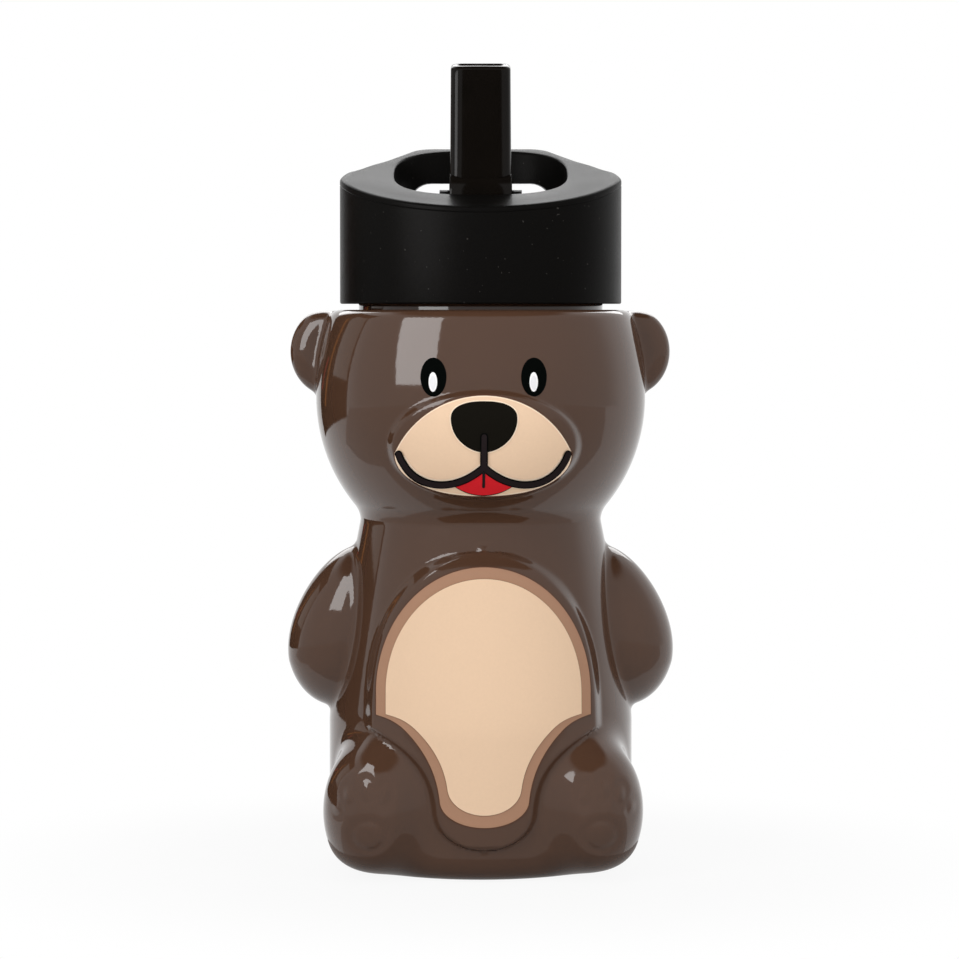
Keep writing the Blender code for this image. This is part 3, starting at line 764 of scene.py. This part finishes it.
def panel_outline(half_width, top, corner, tail_half_width, bottom, steps=64):
    """An arch from the corner up. Below it the sides turn in sharply, then run down to a round end."""
    middle = corner + ARCH_LIFT
    right = []
    for turn in np.linspace(0, math.pi, steps)[:-1]:
        share = (1 - math.cos(turn)) / 2
        height = bottom + (corner - bottom) * share
        round_end = math.sqrt(1 - (1 - min((height - bottom) / TAIL_ROUNDING, 1)) ** 2)
        flare = 0.78 * share**2.7 + 0.22 * share**28
        right.append((tail_half_width * round_end + (half_width - tail_half_width) * flare, height))
    right.append((half_width, corner))
    for turn in np.linspace(0, math.pi / 2, steps):
        right.append((half_width * math.cos(turn), middle + (top - middle) * math.sin(turn)))
    left = [(-x, z) for x, z in right[::-1] if x > 1e-5]
    return [(PRINT_ACROSS + x, z) for x, z in right + left]


def widened(sizes, by):
    half_width, top, corner, tail, bottom = sizes
    return half_width + by, top + by, corner - by * 0.6, tail + by, bottom - by


for name, sizes, layer, finish in (
    ("belly_edge_line", widened(belly_tan, EDGE_LINE), 1, line_ink),
    ("belly_border", belly_tan, 2, tan_ink),
    ("belly_field_line", widened(belly_beige, EDGE_LINE * 0.6), 3, fine_line_ink),
    ("belly_field", belly_beige, 4, beige_ink),
):
    print_patch(name, panel_outline(*sizes), BELLY_MIDDLE, layer, finish, rings=26)
print("belly printed")

# %% [markdown]
# The muzzle print is a lens with a round lower half. Nose, mouth and tongue lie on it, and the eyes
# are ellipses with a white glint.

# %% Face print
FACE_ACROSS = -0.0003
FACE_HEIGHT = 0.1073
LENS_HALF_WIDTH = 0.0219
LENS_ABOVE = 0.0144
LENS_BELOW = 0.0106
LENS_FULLNESS = 2.2


def bent(value, power):
    return math.copysign(abs(value) ** power, value)


def arc(half_chord, rise, steps=60):
    """A circular arc over a chord, from the right end to the left, as (across, up) points."""
    radius = (half_chord**2 + rise**2) / (2 * rise)
    start = math.asin(half_chord / radius)
    turns = np.linspace(start, -start, steps)
    return [(radius * math.sin(t), radius * (math.cos(t) - 1) + rise) for t in turns]


def muzzle_outline(wider=0.0, steps=48):
    """A circular arc above, and a fuller half below."""
    half_width = LENS_HALF_WIDTH + wider
    points = arc(half_width, LENS_ABOVE + wider, steps)
    for turn in np.linspace(math.pi, 2 * math.pi, steps)[1:-1]:
        across = bent(math.cos(turn), 2 / LENS_FULLNESS) * half_width
        up = bent(math.sin(turn), 2 / LENS_FULLNESS) * (LENS_BELOW + wider)
        points.append((across, up))
    return [(FACE_ACROSS + x, FACE_HEIGHT + up) for x, up in points]


FACE_MIDDLE = (FACE_ACROSS, FACE_HEIGHT)
print_patch("muzzle_line", muzzle_outline(0.00030), FACE_MIDDLE, 1, line_ink)
print_patch("muzzle_rim", muzzle_outline(), FACE_MIDDLE, 2, rim_ink)
print_patch("muzzle_field", muzzle_outline(-0.00035), FACE_MIDDLE, 3, face_ink_painted_lighter)

# %% Nose, mouth and tongue
NOSE_CENTRE = (FACE_ACROSS, 0.1160)
NOSE_HALF_WIDTH = 0.0081
NOSE_ABOVE = 0.0043
NOSE_BELOW = 0.0082
SMILE = ((0.0207, 0.1072), (0.0175, 0.0984), (0.0075, 0.0974), (0.0, 0.1042))
MOUTH_WIDTH = 0.0013
EDGED_WIDTH = MOUTH_WIDTH + 0.0006
HALO_WIDTH = EDGED_WIDTH + 0.0006
TONGUE_HALF = 0.0070
TONGUE_CORNER = 0.0994
TONGUE_SAG = 0.0022
TONGUE_CREASE = (0.1030, 0.0994)
PHILTRUM = (0.1117, 0.1040)
BOTH_SIDES = ((1, "left"), (-1, "right"))


def nose_outline(wider=0.0, steps=72):
    points = []
    for turn in full_turn(steps):
        c, s = math.cos(turn), math.sin(turn)
        tall, upright_power, level_power = (NOSE_ABOVE, 0.82, 0.86) if s > 0 else (NOSE_BELOW, 1.0, 1.10)
        points.append((
            NOSE_CENTRE[0] + bent(c, level_power) * (NOSE_HALF_WIDTH + wider),
            NOSE_CENTRE[1] + bent(s, upright_power) * (tall + wider),
        ))
    return points


def smile(side, start=0.0, steps=34):
    """The mouth from its corner to the middle: a cubic curve that hangs low near the corner."""
    t = np.linspace(start, 1, steps)
    shares = np.stack(((1 - t) ** 3, 3 * t * (1 - t) ** 2, 3 * t * t * (1 - t), t**3), axis=1)
    return shares @ np.array(SMILE) * (side, 1) + (FACE_ACROSS, 0)


def upright_line(high, low, steps=14):
    return [(FACE_ACROSS, z) for z in np.linspace(high, low, steps)]


print_patch("nose_line", nose_outline(0.00032), NOSE_CENTRE, 4, rim_ink, rings=8)
print_patch("nose", nose_outline(), NOSE_CENTRE, 5, nose_ink, rings=12)
tongue = [(TONGUE_HALF, TONGUE_CORNER)]
tongue += [(x, TONGUE_CORNER - up) for x, up in arc(TONGUE_HALF, TONGUE_SAG, 20)][1:]
tongue += [(-TONGUE_HALF * 0.5, 0.1020), (0.0, 0.1036), (TONGUE_HALF * 0.5, 0.1020)]
tongue = np.array(tongue) + (FACE_ACROSS, 0)
tongue_middle = np.array((FACE_ACROSS, TONGUE_CORNER + 0.0010))
tongue_edge = tongue_middle + (tongue - tongue_middle) * (1.03, 1.09)
for side, word in BOTH_SIDES:
    print_line(f"mouth_{word}_halo", smile(side, 0.06), HALO_WIDTH, 4, rim_ink)
print_patch("tongue_edge", tongue_edge, tongue_middle, 5, eye_ink, rings=6)
print_patch("tongue", tongue, tongue_middle, 6, red_ink, rings=8)
print_line("tongue_crease", upright_line(*TONGUE_CREASE, 6), 0.0007, 7, dark_ink)
for side, word in BOTH_SIDES:
    print_line(f"mouth_{word}_edge", smile(side), EDGED_WIDTH, 7, eye_ink)
print_line("philtrum_edge", upright_line(*PHILTRUM), EDGED_WIDTH, 7.4, eye_ink)
for side, word in BOTH_SIDES:
    print_line(f"mouth_{word}", smile(side), MOUTH_WIDTH, 8.2, dark_ink)
print_line("philtrum", upright_line(*PHILTRUM), MOUTH_WIDTH, 8.6, dark_ink)

# %% Eyes
EYE_ACROSS = 0.0124
EYE_HEIGHT = 0.1262


def print_oval(name, half_width, half_height, centre, layer, finish, rings):
    turns = full_turn(56)
    outline = np.stack((half_width * np.cos(turns), half_height * np.sin(turns)), axis=1) + centre
    print_patch(name, outline, centre, layer, finish, rings)


for side, word in BOTH_SIDES:
    x = FACE_ACROSS + side * EYE_ACROSS
    print_oval(f"eye_{word}", 0.0032, 0.0048, (x, EYE_HEIGHT), 1, eye_ink, 8)
    print_oval(f"glint_{word}", 0.00105, 0.0024, (x - 0.0001, EYE_HEIGHT - 0.0012), 2, white_ink, 5)
    print_oval(f"glint_core_{word}", 0.0007, 0.0017, (x - 0.0001, EYE_HEIGHT - 0.0014), 3, grey_ink, 4)
print("face printed")

# %% [markdown]
# The lid's skin is written in polar form. At every angle round the axis it has one cross-section:
# out under the deck, down the inside of the skirt, up the wall, in over the sloping shoulder to
# the loop, across the slanted top and down into the well. `rounded` rounds that section's corners.

# %% Sizes of the lid
LID_TURN = math.radians(-1.5)
LID_RADIUS = 0.0362
LID_WALL = 0.0023
DECK_BELOW = NECK_TOP + 0.0026
DECK_TOP = DECK_BELOW + 0.0024
LID_SHOULDER = DECK_TOP + 0.0106
SLANT = math.radians(15)
SLANT_HEIGHT = DECK_TOP + 0.0126
WELL_HALF_WIDTH = 0.0222
WELL_FRONT = -0.0230
WELL_BACK = 0.0243
WELL_ROUNDNESS = 2.8
LOOP_SIDE = 0.0284
LOOP_SIDE_ANGLE = math.radians(31.3)
LOOP_CORNER = 0.0040
LOOP_THICKNESS = 0.0034
LOOP_FLARE = 0.0030
LOOP_BAR_HEIGHT = 0.0085
GAP_HALF_WIDTH = 0.0186
GAP_CORNER = 0.0055
CLEARANCE = 0.0003
PIVOT_BACK = -0.0160
BARREL_RADIUS = 0.0060
BARREL_LENGTH = 0.0158
PIVOT_HEIGHT = DECK_TOP + CLEARANCE + BARREL_RADIUS

# %% Outlines of the loop and the well
LID_ANGLES = full_turn(320)
LID_COS = np.cos(LID_ANGLES)
LID_SIN = np.sin(LID_ANGLES)


def loop_reach():
    """The loop's outline: round in front, straight sides that draw in, and a flat bar behind."""
    folded = np.arctan2(LID_SIN, np.abs(LID_COS))
    lean = np.maximum(np.cos(folded - LOOP_SIDE_ANGLE), 0.05)
    bar = (WELL_BACK + LOOP_THICKNESS) / np.maximum(LID_SIN, 0.05)
    sides = blend(LOOP_SIDE / lean, bar, LOOP_CORNER)
    return blend(sides, LID_RADIUS - CLEARANCE, LOOP_CORNER)


def in_well(reach):
    """The well's outline is a circle that is a little square."""
    middle = (WELL_FRONT + WELL_BACK) / 2
    across = np.abs(reach * LID_COS / WELL_HALF_WIDTH) ** WELL_ROUNDNESS
    deep = np.abs((reach * LID_SIN - middle) / (WELL_BACK - middle)) ** WELL_ROUNDNESS
    return across + deep < 1


def plane_height(reach):
    return SLANT_HEIGHT + reach * LID_SIN * math.tan(SLANT)


def rounded(section, steps=4):
    """Rounds the corners of a section, given as (reach, height, radius), and turns it into rings."""
    corners = [np.stack(np.broadcast_arrays(*corner[:2], LID_ANGLES)[:2], axis=1) for corner in section]
    rows = [corners[0]]
    for before, corner, after, (_, _, radius) in zip(corners, corners[1:], corners[2:], section[1:]):
        legs = []
        for other in (before, after):
            leg = other - corner
            length = np.maximum(np.linalg.norm(leg, axis=1), 1e-9)[:, None]
            legs.append(leg / length * np.minimum(np.reshape(radius, (-1, 1)), 0.49 * length))
        for t in np.linspace(0, 1, steps + 1):
            rows.append(corner + legs[0] * (1 - t) ** 2 + legs[1] * t**2)
    rows.append(corners[-1])
    return [level_ring(LID_ANGLES, row[:, 0], row[:, 1]) for row in rows]


# %% Lid shell
HUB = 0.0005
GROOVE_DROP = 0.0012
SIDE_GROOVE_DROP = 0.0015
SIDE_RISE = 0.0026
SIDE_LEDGE = 0.0008
GROOVE_WIDTH = 0.00030
GROOVE_DEPTH = 0.00016
sideways = np.abs(LID_COS)
beside = ramp(sideways, 0.85, 1.0)
shoulder = LID_SHOULDER + SIDE_RISE * beside
above = ramp(plane_height(LID_RADIUS) - LID_SHOULDER, -0.0050, 0.0020)
ledge = 0.0020 - 0.0012 * above + SIDE_LEDGE * beside
loop = loop_reach()
well = last_true(0.0, 0.040, in_well)
flare_reach = np.minimum(loop + LOOP_FLARE, LID_RADIUS - ledge)
top_reach = np.minimum(loop, LID_RADIUS - 2 * ledge)


def under_plane(reach, height):
    """The lower of a height and the slanted plane, and a little less where they cross."""
    return blend(height, plane_height(reach), 0.0024)


wall_top = under_plane(LID_RADIUS, LID_SHOULDER + 0.2 * SIDE_RISE * beside)
wall_round = 0.0013 + 0.0022 * ramp(sideways, 0.80, 1.0)
groove_top = wall_top - GROOVE_DROP - (SIDE_GROOVE_DROP - GROOVE_DROP) * ramp(sideways, 0.3, 1.0)
lid_rows = rounded((
    (HUB, DECK_BELOW, 0),
    (LID_RADIUS - LID_WALL, DECK_BELOW, 0.0008),
    (LID_RADIUS - LID_WALL, LID_BOTTOM, 0.0004),
    (LID_RADIUS, LID_BOTTOM, 0.0005),
    (LID_RADIUS, groove_top - GROOVE_WIDTH, 0.00008),
    (LID_RADIUS - GROOVE_DEPTH, groove_top - GROOVE_WIDTH / 2, 0.00008),
    (LID_RADIUS, groove_top, 0.00008),
    (LID_RADIUS, wall_top, wall_round),
    (flare_reach, under_plane(flare_reach, shoulder), 0.0012),
    (top_reach, under_plane(top_reach, shoulder + LOOP_FLARE * 1.3), 0.0012),
    (top_reach, plane_height(top_reach), 0.0011),
    (well, plane_height(well), 0.0007),
    (well, DECK_TOP, 0.0014),
    (HUB, DECK_TOP, 0),
))
lid = grid_mesh("lid_moulding", lid_rows, black.material, smooth=30)
print("lid", len(lid.data.polygons), "faces before cutting")

# %% [markdown]
# The rest is joined and cut: the finger gap under the bar, the two lugs that carry the spout, the
# spigot for the straw, the port, the seal's pocket, the vent and the thread.

# %% Lid features
LUG_THICKNESS = 0.0022
LUG_RADIUS = 0.0029
LUG_TOP = 0.45
AXLE_RADIUS = 0.0014
SEAL_RADIUS = 0.0058
SEAL_DEPTH = 0.0014
PORT_RADIUS = 0.0030
SPIGOT_LENGTH = 0.0090
SPIGOT_WEB = 0.0014
SPIGOT_BORE = 0.0035 + 0.0011 + 2 * CLEARANCE
SPIGOT_RADIUS = SPIGOT_BORE + 0.0013
VALVE_BACK = 0.0080
VENT_RADIUS = 0.0014 + CLEARANCE
PORT_PLACE = (0.0, PIVOT_BACK)
VENT_PLACE = (0.0, VALVE_BACK)


def finger_gap():
    """The arched gap under the bar. Its mouth widens outwards, as a rounded edge does."""
    underside = SLANT_HEIGHT + WELL_BACK * math.tan(SLANT) - LOOP_BAR_HEIGHT
    floor = DECK_TOP + 0.0012
    arch = [
        (
            GAP_HALF_WIDTH - GAP_CORNER * (1 - math.cos(turn)),
            underside - GAP_CORNER * (1 - math.sin(turn)),
        )
        for turn in np.linspace(0, math.pi / 2, 9)
    ]
    right = [(GAP_HALF_WIDTH, floor)] + arch
    outline = right + [(-x, z) for x, z in right[::-1]]
    back = WELL_BACK + LOOP_THICKNESS
    rows = []
    for depth, wider in (
        (WELL_BACK * 0.45, 1.0),
        (back - 0.0008, 1.0),
        (back - 0.0002, 1.012),
        (back + 0.0004, 1.04),
        (LID_RADIUS + 0.004, 1.04),
    ):
        rows.append([(x * wider, depth, floor + (z - floor) * wider) for x, z in outline])
    return grid_mesh("finger_gap", rows)


def lug(side):
    """An ear on the deck that one axle of the spout snaps into from above, with rounded edges."""
    inner = BARREL_LENGTH / 2 + CLEARANCE
    rows = []
    for share, shrink in ((0.0, 0.90), (0.12, 1.0), (0.88, 1.0), (1.0, 0.90)):
        radius = LUG_RADIUS * shrink
        row = [(-radius, DECK_TOP - 0.0006), (radius, DECK_TOP - 0.0006)]
        for turn in np.linspace(0, math.pi, 17):
            row.append((radius * math.cos(turn), PIVOT_HEIGHT + radius * math.sin(turn) * LUG_TOP))
        x = side * (inner + LUG_THICKNESS * share)
        rows.append([(x, PIVOT_BACK + y, z) for y, z in row])
    return grid_mesh(f"lug_{side}", rows)


def across_rod(name, radius, half_length, centre, sides=40):
    made = turned(name, [(radius, -half_length), (radius, half_length)], sides)
    made.data.transform(Matrix.Translation(centre) @ Matrix.Rotation(math.pi / 2, 4, "Y"))
    return made


def upright(name, radius, low, high, place=PORT_PLACE):
    return turned(name, [(radius, low), (radius, high)], 48, place=place)


# %% Carve the lid
pivot = Vector((0, PIVOT_BACK, PIVOT_HEIGHT))
carve(
    lid,
    (finger_gap(), CUT),
    (lug(-1), JOIN),
    (lug(1), JOIN),
    (across_rod("axle_holes", AXLE_RADIUS + CLEARANCE, BARREL_LENGTH / 2 + 0.0036, pivot), CUT),
    (upright("spigot", SPIGOT_RADIUS, DECK_BELOW - SPIGOT_LENGTH, DECK_BELOW + 0.0006), JOIN),
    (upright("bore", SPIGOT_BORE, DECK_BELOW - 0.0100, DECK_BELOW - SPIGOT_WEB), CUT),
    (upright("port", PORT_RADIUS, DECK_BELOW - 0.0030, DECK_TOP + 0.0010), CUT),
    (upright("pocket", SEAL_RADIUS + CLEARANCE, DECK_TOP - SEAL_DEPTH, DECK_TOP + 0.0020), CUT),
    (upright("vent", VENT_RADIUS, DECK_BELOW - 0.0010, DECK_TOP + 0.0010, VENT_PLACE), CUT),
    (ridge("lid_thread", LID_RADIUS - LID_WALL, -0.0014, THREAD_START - 0.0022), JOIN),
    smooth=30,
)
lid.data.transform(Matrix.Rotation(LID_TURN, 4, "Z"))
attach(lid, "lid")
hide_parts("lid_shell")
print("lid", len(lid.data.polygons), "faces")

# %% [markdown]
# The spout is a flat stem on a round barrel. The stem ends in a rim that stands over the barrel and
# rises to both sides. Its tip slopes down to the lips. The flow channel opens from round to a slot.

# %% Spout
SPOUT_LENGTH = SPOUT_TOP - PIVOT_HEIGHT - 0.0006
STEM_START = np.array((0.0155, 0.0079))
STEM_END = np.array((0.0151, 0.0072))
STEM_CORNER = 0.0020
STEM_BULGE = 0.0006
RIM_HEIGHT = 0.0036
RIM_RISE = 0.0017
TIP_DROP = 0.0014
SLOT_WIDTH = 0.0104
SLOT_DEPTH = 0.0040
BORE = 0.0052


def slab(width, depth, height=0.0, slope=0.0, corner=STEM_CORNER, bulge=STEM_BULGE, steps=6):
    """A rectangle with round corners and a bulging front. It drops towards the front by the slope."""
    points = []
    for turn, (sx, sy) in enumerate(((1, 1), (-1, 1), (-1, -1), (1, -1))):
        for i in range(steps + 1):
            angle = math.pi / 2 * (turn + i / steps)
            x = sx * (width / 2 - corner) + corner * math.cos(angle)
            y = sy * (depth / 2 - corner) + corner * math.sin(angle)
            points.append((x, y))
        if turn in (0, 2):
            x, y = points[-1]
            points += [(x * share, y) for share in np.linspace(1, -1, 10)[1:-1]]
    made = []
    for x, y in points:
        out = bulge * max(0.0, 1 - (2 * x / width) ** 2) if y < 0 else 0.0
        made.append((x, y - out, height + slope * y))
    return made


def arched(points, low, rise):
    """Lifts a row of the stem towards both sides, so that its lower rim is an arch upside down."""
    return [(x, y, low + rise * (2 * x / STEM_START[0]) ** 2) for x, y, _ in points]


tip_slope = TIP_DROP / STEM_END[1]
full = slab(*STEM_START)
inner = slab(*(STEM_START - 0.0014))
rim = (
    (inner, -0.0010, 1.0),
    (inner, -0.0005, 1.0),
    (full, 0.0, 1.0),
    (full, 0.0004, 1.0),
    (full, 0.0020, 0.6),
)
stem_rows = [arched(row, RIM_HEIGHT + up, RIM_RISE * share) for row, up, share in rim]
for share in np.linspace(0.16, 1, 10):
    height = 0.0012 + (SPOUT_LENGTH - 0.0022) * share
    stem_rows.append(slab(*(STEM_START + (STEM_END - STEM_START) * share), height, tip_slope * share))
for turn in np.linspace(0, math.pi / 2, 5)[1:]:
    inwards = 0.0010 * (1 - math.cos(turn))
    height = SPOUT_LENGTH - 0.0010 + 0.0010 * math.sin(turn)
    stem_rows.append(slab(*(STEM_END - 2 * inwards), height, tip_slope, STEM_CORNER - inwards * 0.6))
spout = grid_mesh("flip_spout", stem_rows, polished.material, smooth=50)

# %% Barrel, axles and channel
half_barrel = BARREL_LENGTH / 2
barrel_end = [
    (BARREL_RADIUS - inwards, half_barrel - back)
    for inwards, back in ((0.0, 0.0007), (0.0002, 0.0002), (0.0007, 0.0))
]
barrel_outline = [(radius, -x) for radius, x in barrel_end[::-1]] + barrel_end
barrel = turned("barrel", barrel_outline, 96)
barrel.data.transform(Matrix.Rotation(math.pi / 2, 4, "Y"))
channel_rows = [
    slab(width, depth, height, slope, corner, bulge=0.0)
    for width, depth, height, slope, corner in (
        (BORE, BORE, -BARREL_RADIUS - 0.0020, 0.0, BORE * 0.49),
        (BORE, BORE, BARREL_RADIUS, 0.0, BORE * 0.49),
        (SLOT_WIDTH, SLOT_DEPTH, SPOUT_LENGTH * 0.5, 0.0, SLOT_DEPTH * 0.4),
        (SLOT_WIDTH, SLOT_DEPTH, SPOUT_LENGTH - 0.0008, tip_slope, SLOT_DEPTH * 0.4),
        (SLOT_WIDTH + 0.0024, SLOT_DEPTH + 0.0016, SPOUT_LENGTH + 0.0006, tip_slope, SLOT_DEPTH * 0.45),
    )
]
carve(
    spout,
    (barrel, JOIN),
    (across_rod("axles", AXLE_RADIUS, half_barrel + CLEARANCE + LUG_THICKNESS, Vector()), JOIN),
    (grid_mesh("channel", channel_rows), CUT),
)
spout.data.transform(Matrix.Rotation(LID_TURN, 4, "Z") @ Matrix.Translation(pivot))
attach(spout, "flip_spout")
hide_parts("spout")
print("spout", len(spout.data.polygons), "faces")

# %% [markdown]
# The seals, the valve and the straw are plain pieces, so their solids stay and only get their
# finish. They show when the lid is off.

# %% Inner pieces
for node in ("lid_gasket", "spout_seal", "straw_grommet", "vent_valve", "straw"):
    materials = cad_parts[node].data.materials
    materials.clear()
    materials.append(satin.material if node == "straw" else silicone.material)

# %% [markdown]
# The studio is a white sweep in a pale room with a dark ceiling. A glossy bottle lives on what it
# mirrors, so cards stand round it that only show in its gloss: grey, dark and striped ones, and a
# small bright one near the forehead. Of the lamps, only the one behind is mirrored.

# %% Floor
FLOOR_SIZE = 3.0
SHADOW_REACH = 0.16
floor = Finish("studio_floor", (0.5, 0.5, 0.5), 0.8, Specular_IOR_Level=0.0)
place = floor.node("ShaderNodeNewGeometry", output="Position")
apart = floor.node("ShaderNodeVectorMath", {"operation": "LENGTH"}, {0: place}, output="Value")
far_off = floor.rise(apart, SHADOW_REACH * 0.4, SHADOW_REACH, low=0.92)
seen = floor.ray("Camera") + floor.ray("Glossy")
white = floor.node("ShaderNodeEmission", {}, {"Color": (1, 1, 1, 1), "Strength": 1.0})
lit = Wire(floor, floor.shader.outputs[0])
shown = floor.node("ShaderNodeMixShader", {}, {0: seen * far_off, 1: lit, 2: white})
floor.feed(floor.tree.nodes["Material Output"].inputs["Surface"], shown)


def flat_sheet(name, corners, finish):
    mesh = bpy.data.meshes.new(name)
    mesh.from_pydata(corners, [], [tuple(range(len(corners)))])
    sheet = link(name, mesh, finish)
    sheet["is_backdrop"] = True
    return sheet


half = FLOOR_SIZE / 2
FLOOR_HEIGHT = -0.0002
flat_sheet(
    "studio_floor",
    [(x * half, y * half, FLOOR_HEIGHT) for x, y in ((-1, -1), (1, -1), (1, 1), (-1, 1))],
    floor.material,
)

# %% Cards


def glowing(name, colour, strength):
    """A finish that shows this colour in any light."""
    made = Finish(name, (0.0, 0.0, 0.0), 1.0, Specular_IOR_Level=0.0, Emission_Strength=strength)
    made.set("Emission Color", (*colour, 1.0))
    return made


def card(name, corners, finish):
    """A sheet that shows in nothing but reflections."""
    sheet = flat_sheet(name, corners, finish.material)
    sheet.visible_camera = False
    sheet.visible_shadow = False
    sheet.visible_diffuse = False


def side_card(name, bearings, distance, width, heights, finish):
    """A card that leans from a low to a high bearing, both taken from the camera towards +X."""
    corners = []
    for bearing, height, order in zip(bearings, heights, ((-1, 1), (1, -1))):
        turn = math.radians(bearing)
        out = Vector((math.sin(turn), -math.cos(turn), 0)) * distance
        along = Vector((math.cos(turn), math.sin(turn), 0)) * width / 2
        corners += [(*(out + along * side).xy, height) for side in order]
    card(name, corners, finish)


dark_card = glowing("dark_card", (1.0, 0.8, 0.6), 0.01)
orange_card = glowing("orange_card", (1.0, 0.36, 0.08), 0.55)
red_card = glowing("red_card", (1.0, 0.12, 0.10), 0.5)
grey_card = glowing("grey_card", (1.0, 0.96, 0.92), 0.55)
front_grey = glowing("front_grey", (1.0, 0.96, 0.94), 0.6)
base_grey = glowing("base_grey", (1.0, 0.96, 0.94), 0.35)
pane = glowing("pane_of_light", (1.0, 1.0, 1.0), 6.0)

FRONT_EDGE = (
    (-1.4, 0.36), (-0.344, 0.150), (-0.222, 0.043), (-0.172, -0.028), (-0.09, -0.030),
    (0.09, -0.030), (0.172, -0.020), (0.30, 0.02), (1.4, 0.10), (1.4, -1.4), (-1.4, -1.4),
)
CHIN_CORNERS = ((-0.019, -0.035), (0.019, -0.035), (0.021, -0.048), (-0.021, -0.048))
CHIN_CARD_HEIGHT = 0.083
SPOUT_CARD_FRONT = -0.036
SPOUT_CARD_CORNERS = ((-0.0095, 0.170), (0.0095, 0.170), (0.0095, 0.215), (-0.0095, 0.215))
BASE_REACH = 0.053
PANE_CORNERS = (
    (-0.1158, -0.0684, 0.2257),
    (-0.0640, -0.1171, 0.2375),
    (-0.0842, -0.1501, 0.1368),
    (-0.1364, -0.0958, 0.1346),
)
card("front_card", [(x, y, FLOOR_HEIGHT / 2) for x, y in FRONT_EDGE], front_grey)
card("chin_card", [(x, y, CHIN_CARD_HEIGHT) for x, y in CHIN_CORNERS], dark_card)
card("spout_card", [(x, SPOUT_CARD_FRONT, z) for x, z in SPOUT_CARD_CORNERS], dark_card)
card("base_card", level_ring(full_turn(48), BASE_REACH, FLOOR_HEIGHT / 4).tolist(), base_grey)
side_card("left_card", (-129, -118), 0.75, 0.60, (0.0, 0.75), dark_card)
side_card("left_pale_strip", (-116, -110), 0.72, 0.24, (0.17, 0.50), grey_card)
side_card("left_orange_strip", (-138, -122), 0.70, 0.028, (0.08, 0.40), orange_card)
side_card("left_red_strip", (-145, -137), 0.70, 0.020, (0.12, 0.20), red_card)
card("pane_card", PANE_CORNERS, pane)

# %% World
ROOM_STRENGTH = 0.10
MIRRORED_ROOM = 0.70
SWEEP_STRENGTH = 1.0
SWEEP_EDGES = (0.05, 0.45)
CEILING_STRENGTH = 0.02
CEILING_EDGES = (0.76, 0.88)
world = bpy.data.worlds.new("studio")
bpy.context.scene.world = world
world.use_nodes = True
sky = Nodes(world.node_tree)


def towards(axis):
    direction = sky.node("ShaderNodeTexCoord", output="Generated")
    return sky.node("ShaderNodeSeparateXYZ", {}, {0: direction}, output=axis)


def choose(factor, first, second):
    return sky.node("ShaderNodeMix", {"data_type": "FLOAT"}, {"Factor": factor, 2: first, 3: second})


room = choose(sky.ray("Glossy"), ROOM_STRENGTH, MIRRORED_ROOM)
room = choose(sky.rise(towards("Y"), *SWEEP_EDGES), room, SWEEP_STRENGTH)
room = choose(sky.rise(towards("Z"), *CEILING_EDGES), room, CEILING_STRENGTH)
room = choose(sky.ray("Camera"), room, SWEEP_STRENGTH)
backdrop = sky.node("ShaderNodeBackground", {}, {"Color": (1, 1, 1, 1), "Strength": room})
sky.feed(sky.tree.nodes["World Output"].inputs[0], backdrop)

# %% Lamps


def softbox(name, bearing, rise, distance, width, height, watts, mirrored_too=False):
    """A flat lamp that faces the bottle."""
    light = bpy.data.lights.new(name, "AREA")
    light.shape = "RECTANGLE"
    light.size = width
    light.size_y = height
    light.energy = watts
    lamp = bpy.data.objects.new(name, light)
    bpy.context.scene.collection.objects.link(lamp)
    turn = math.radians(bearing)
    tilt = math.radians(rise)
    aim = Vector((0, 0, 0.10))
    lamp.location = aim + distance * Vector((
        math.sin(turn) * math.cos(tilt), -math.cos(turn) * math.cos(tilt), math.sin(tilt)
    ))
    lamp.rotation_euler = (aim - lamp.location).to_track_quat("-Z", "Y").to_euler()
    lamp.visible_glossy = mirrored_too


softbox("front_left", -45.5, 32, 1.2, 0.54, 1.0, 7.6)
softbox("back_high", 180, 36, 1.5, 1.6, 0.8, 11.0, mirrored_too=True)
softbox("fill_right", 48, 28, 1.5, 0.9, 0.9, 8.0)
softbox("fill_front", -4, 16, 1.5, 0.9, 0.9, 5.6)
softbox("top", 0, 80, 1.2, 0.8, 0.8, 3.0)
print("lamps", len(bpy.data.lights))

# %% Sizes and end
low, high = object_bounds()
sizes = {"cad": [list(cad_low), list(cad_high)], "visual": [list(low), list(high)]}
print("sizes", sizes)
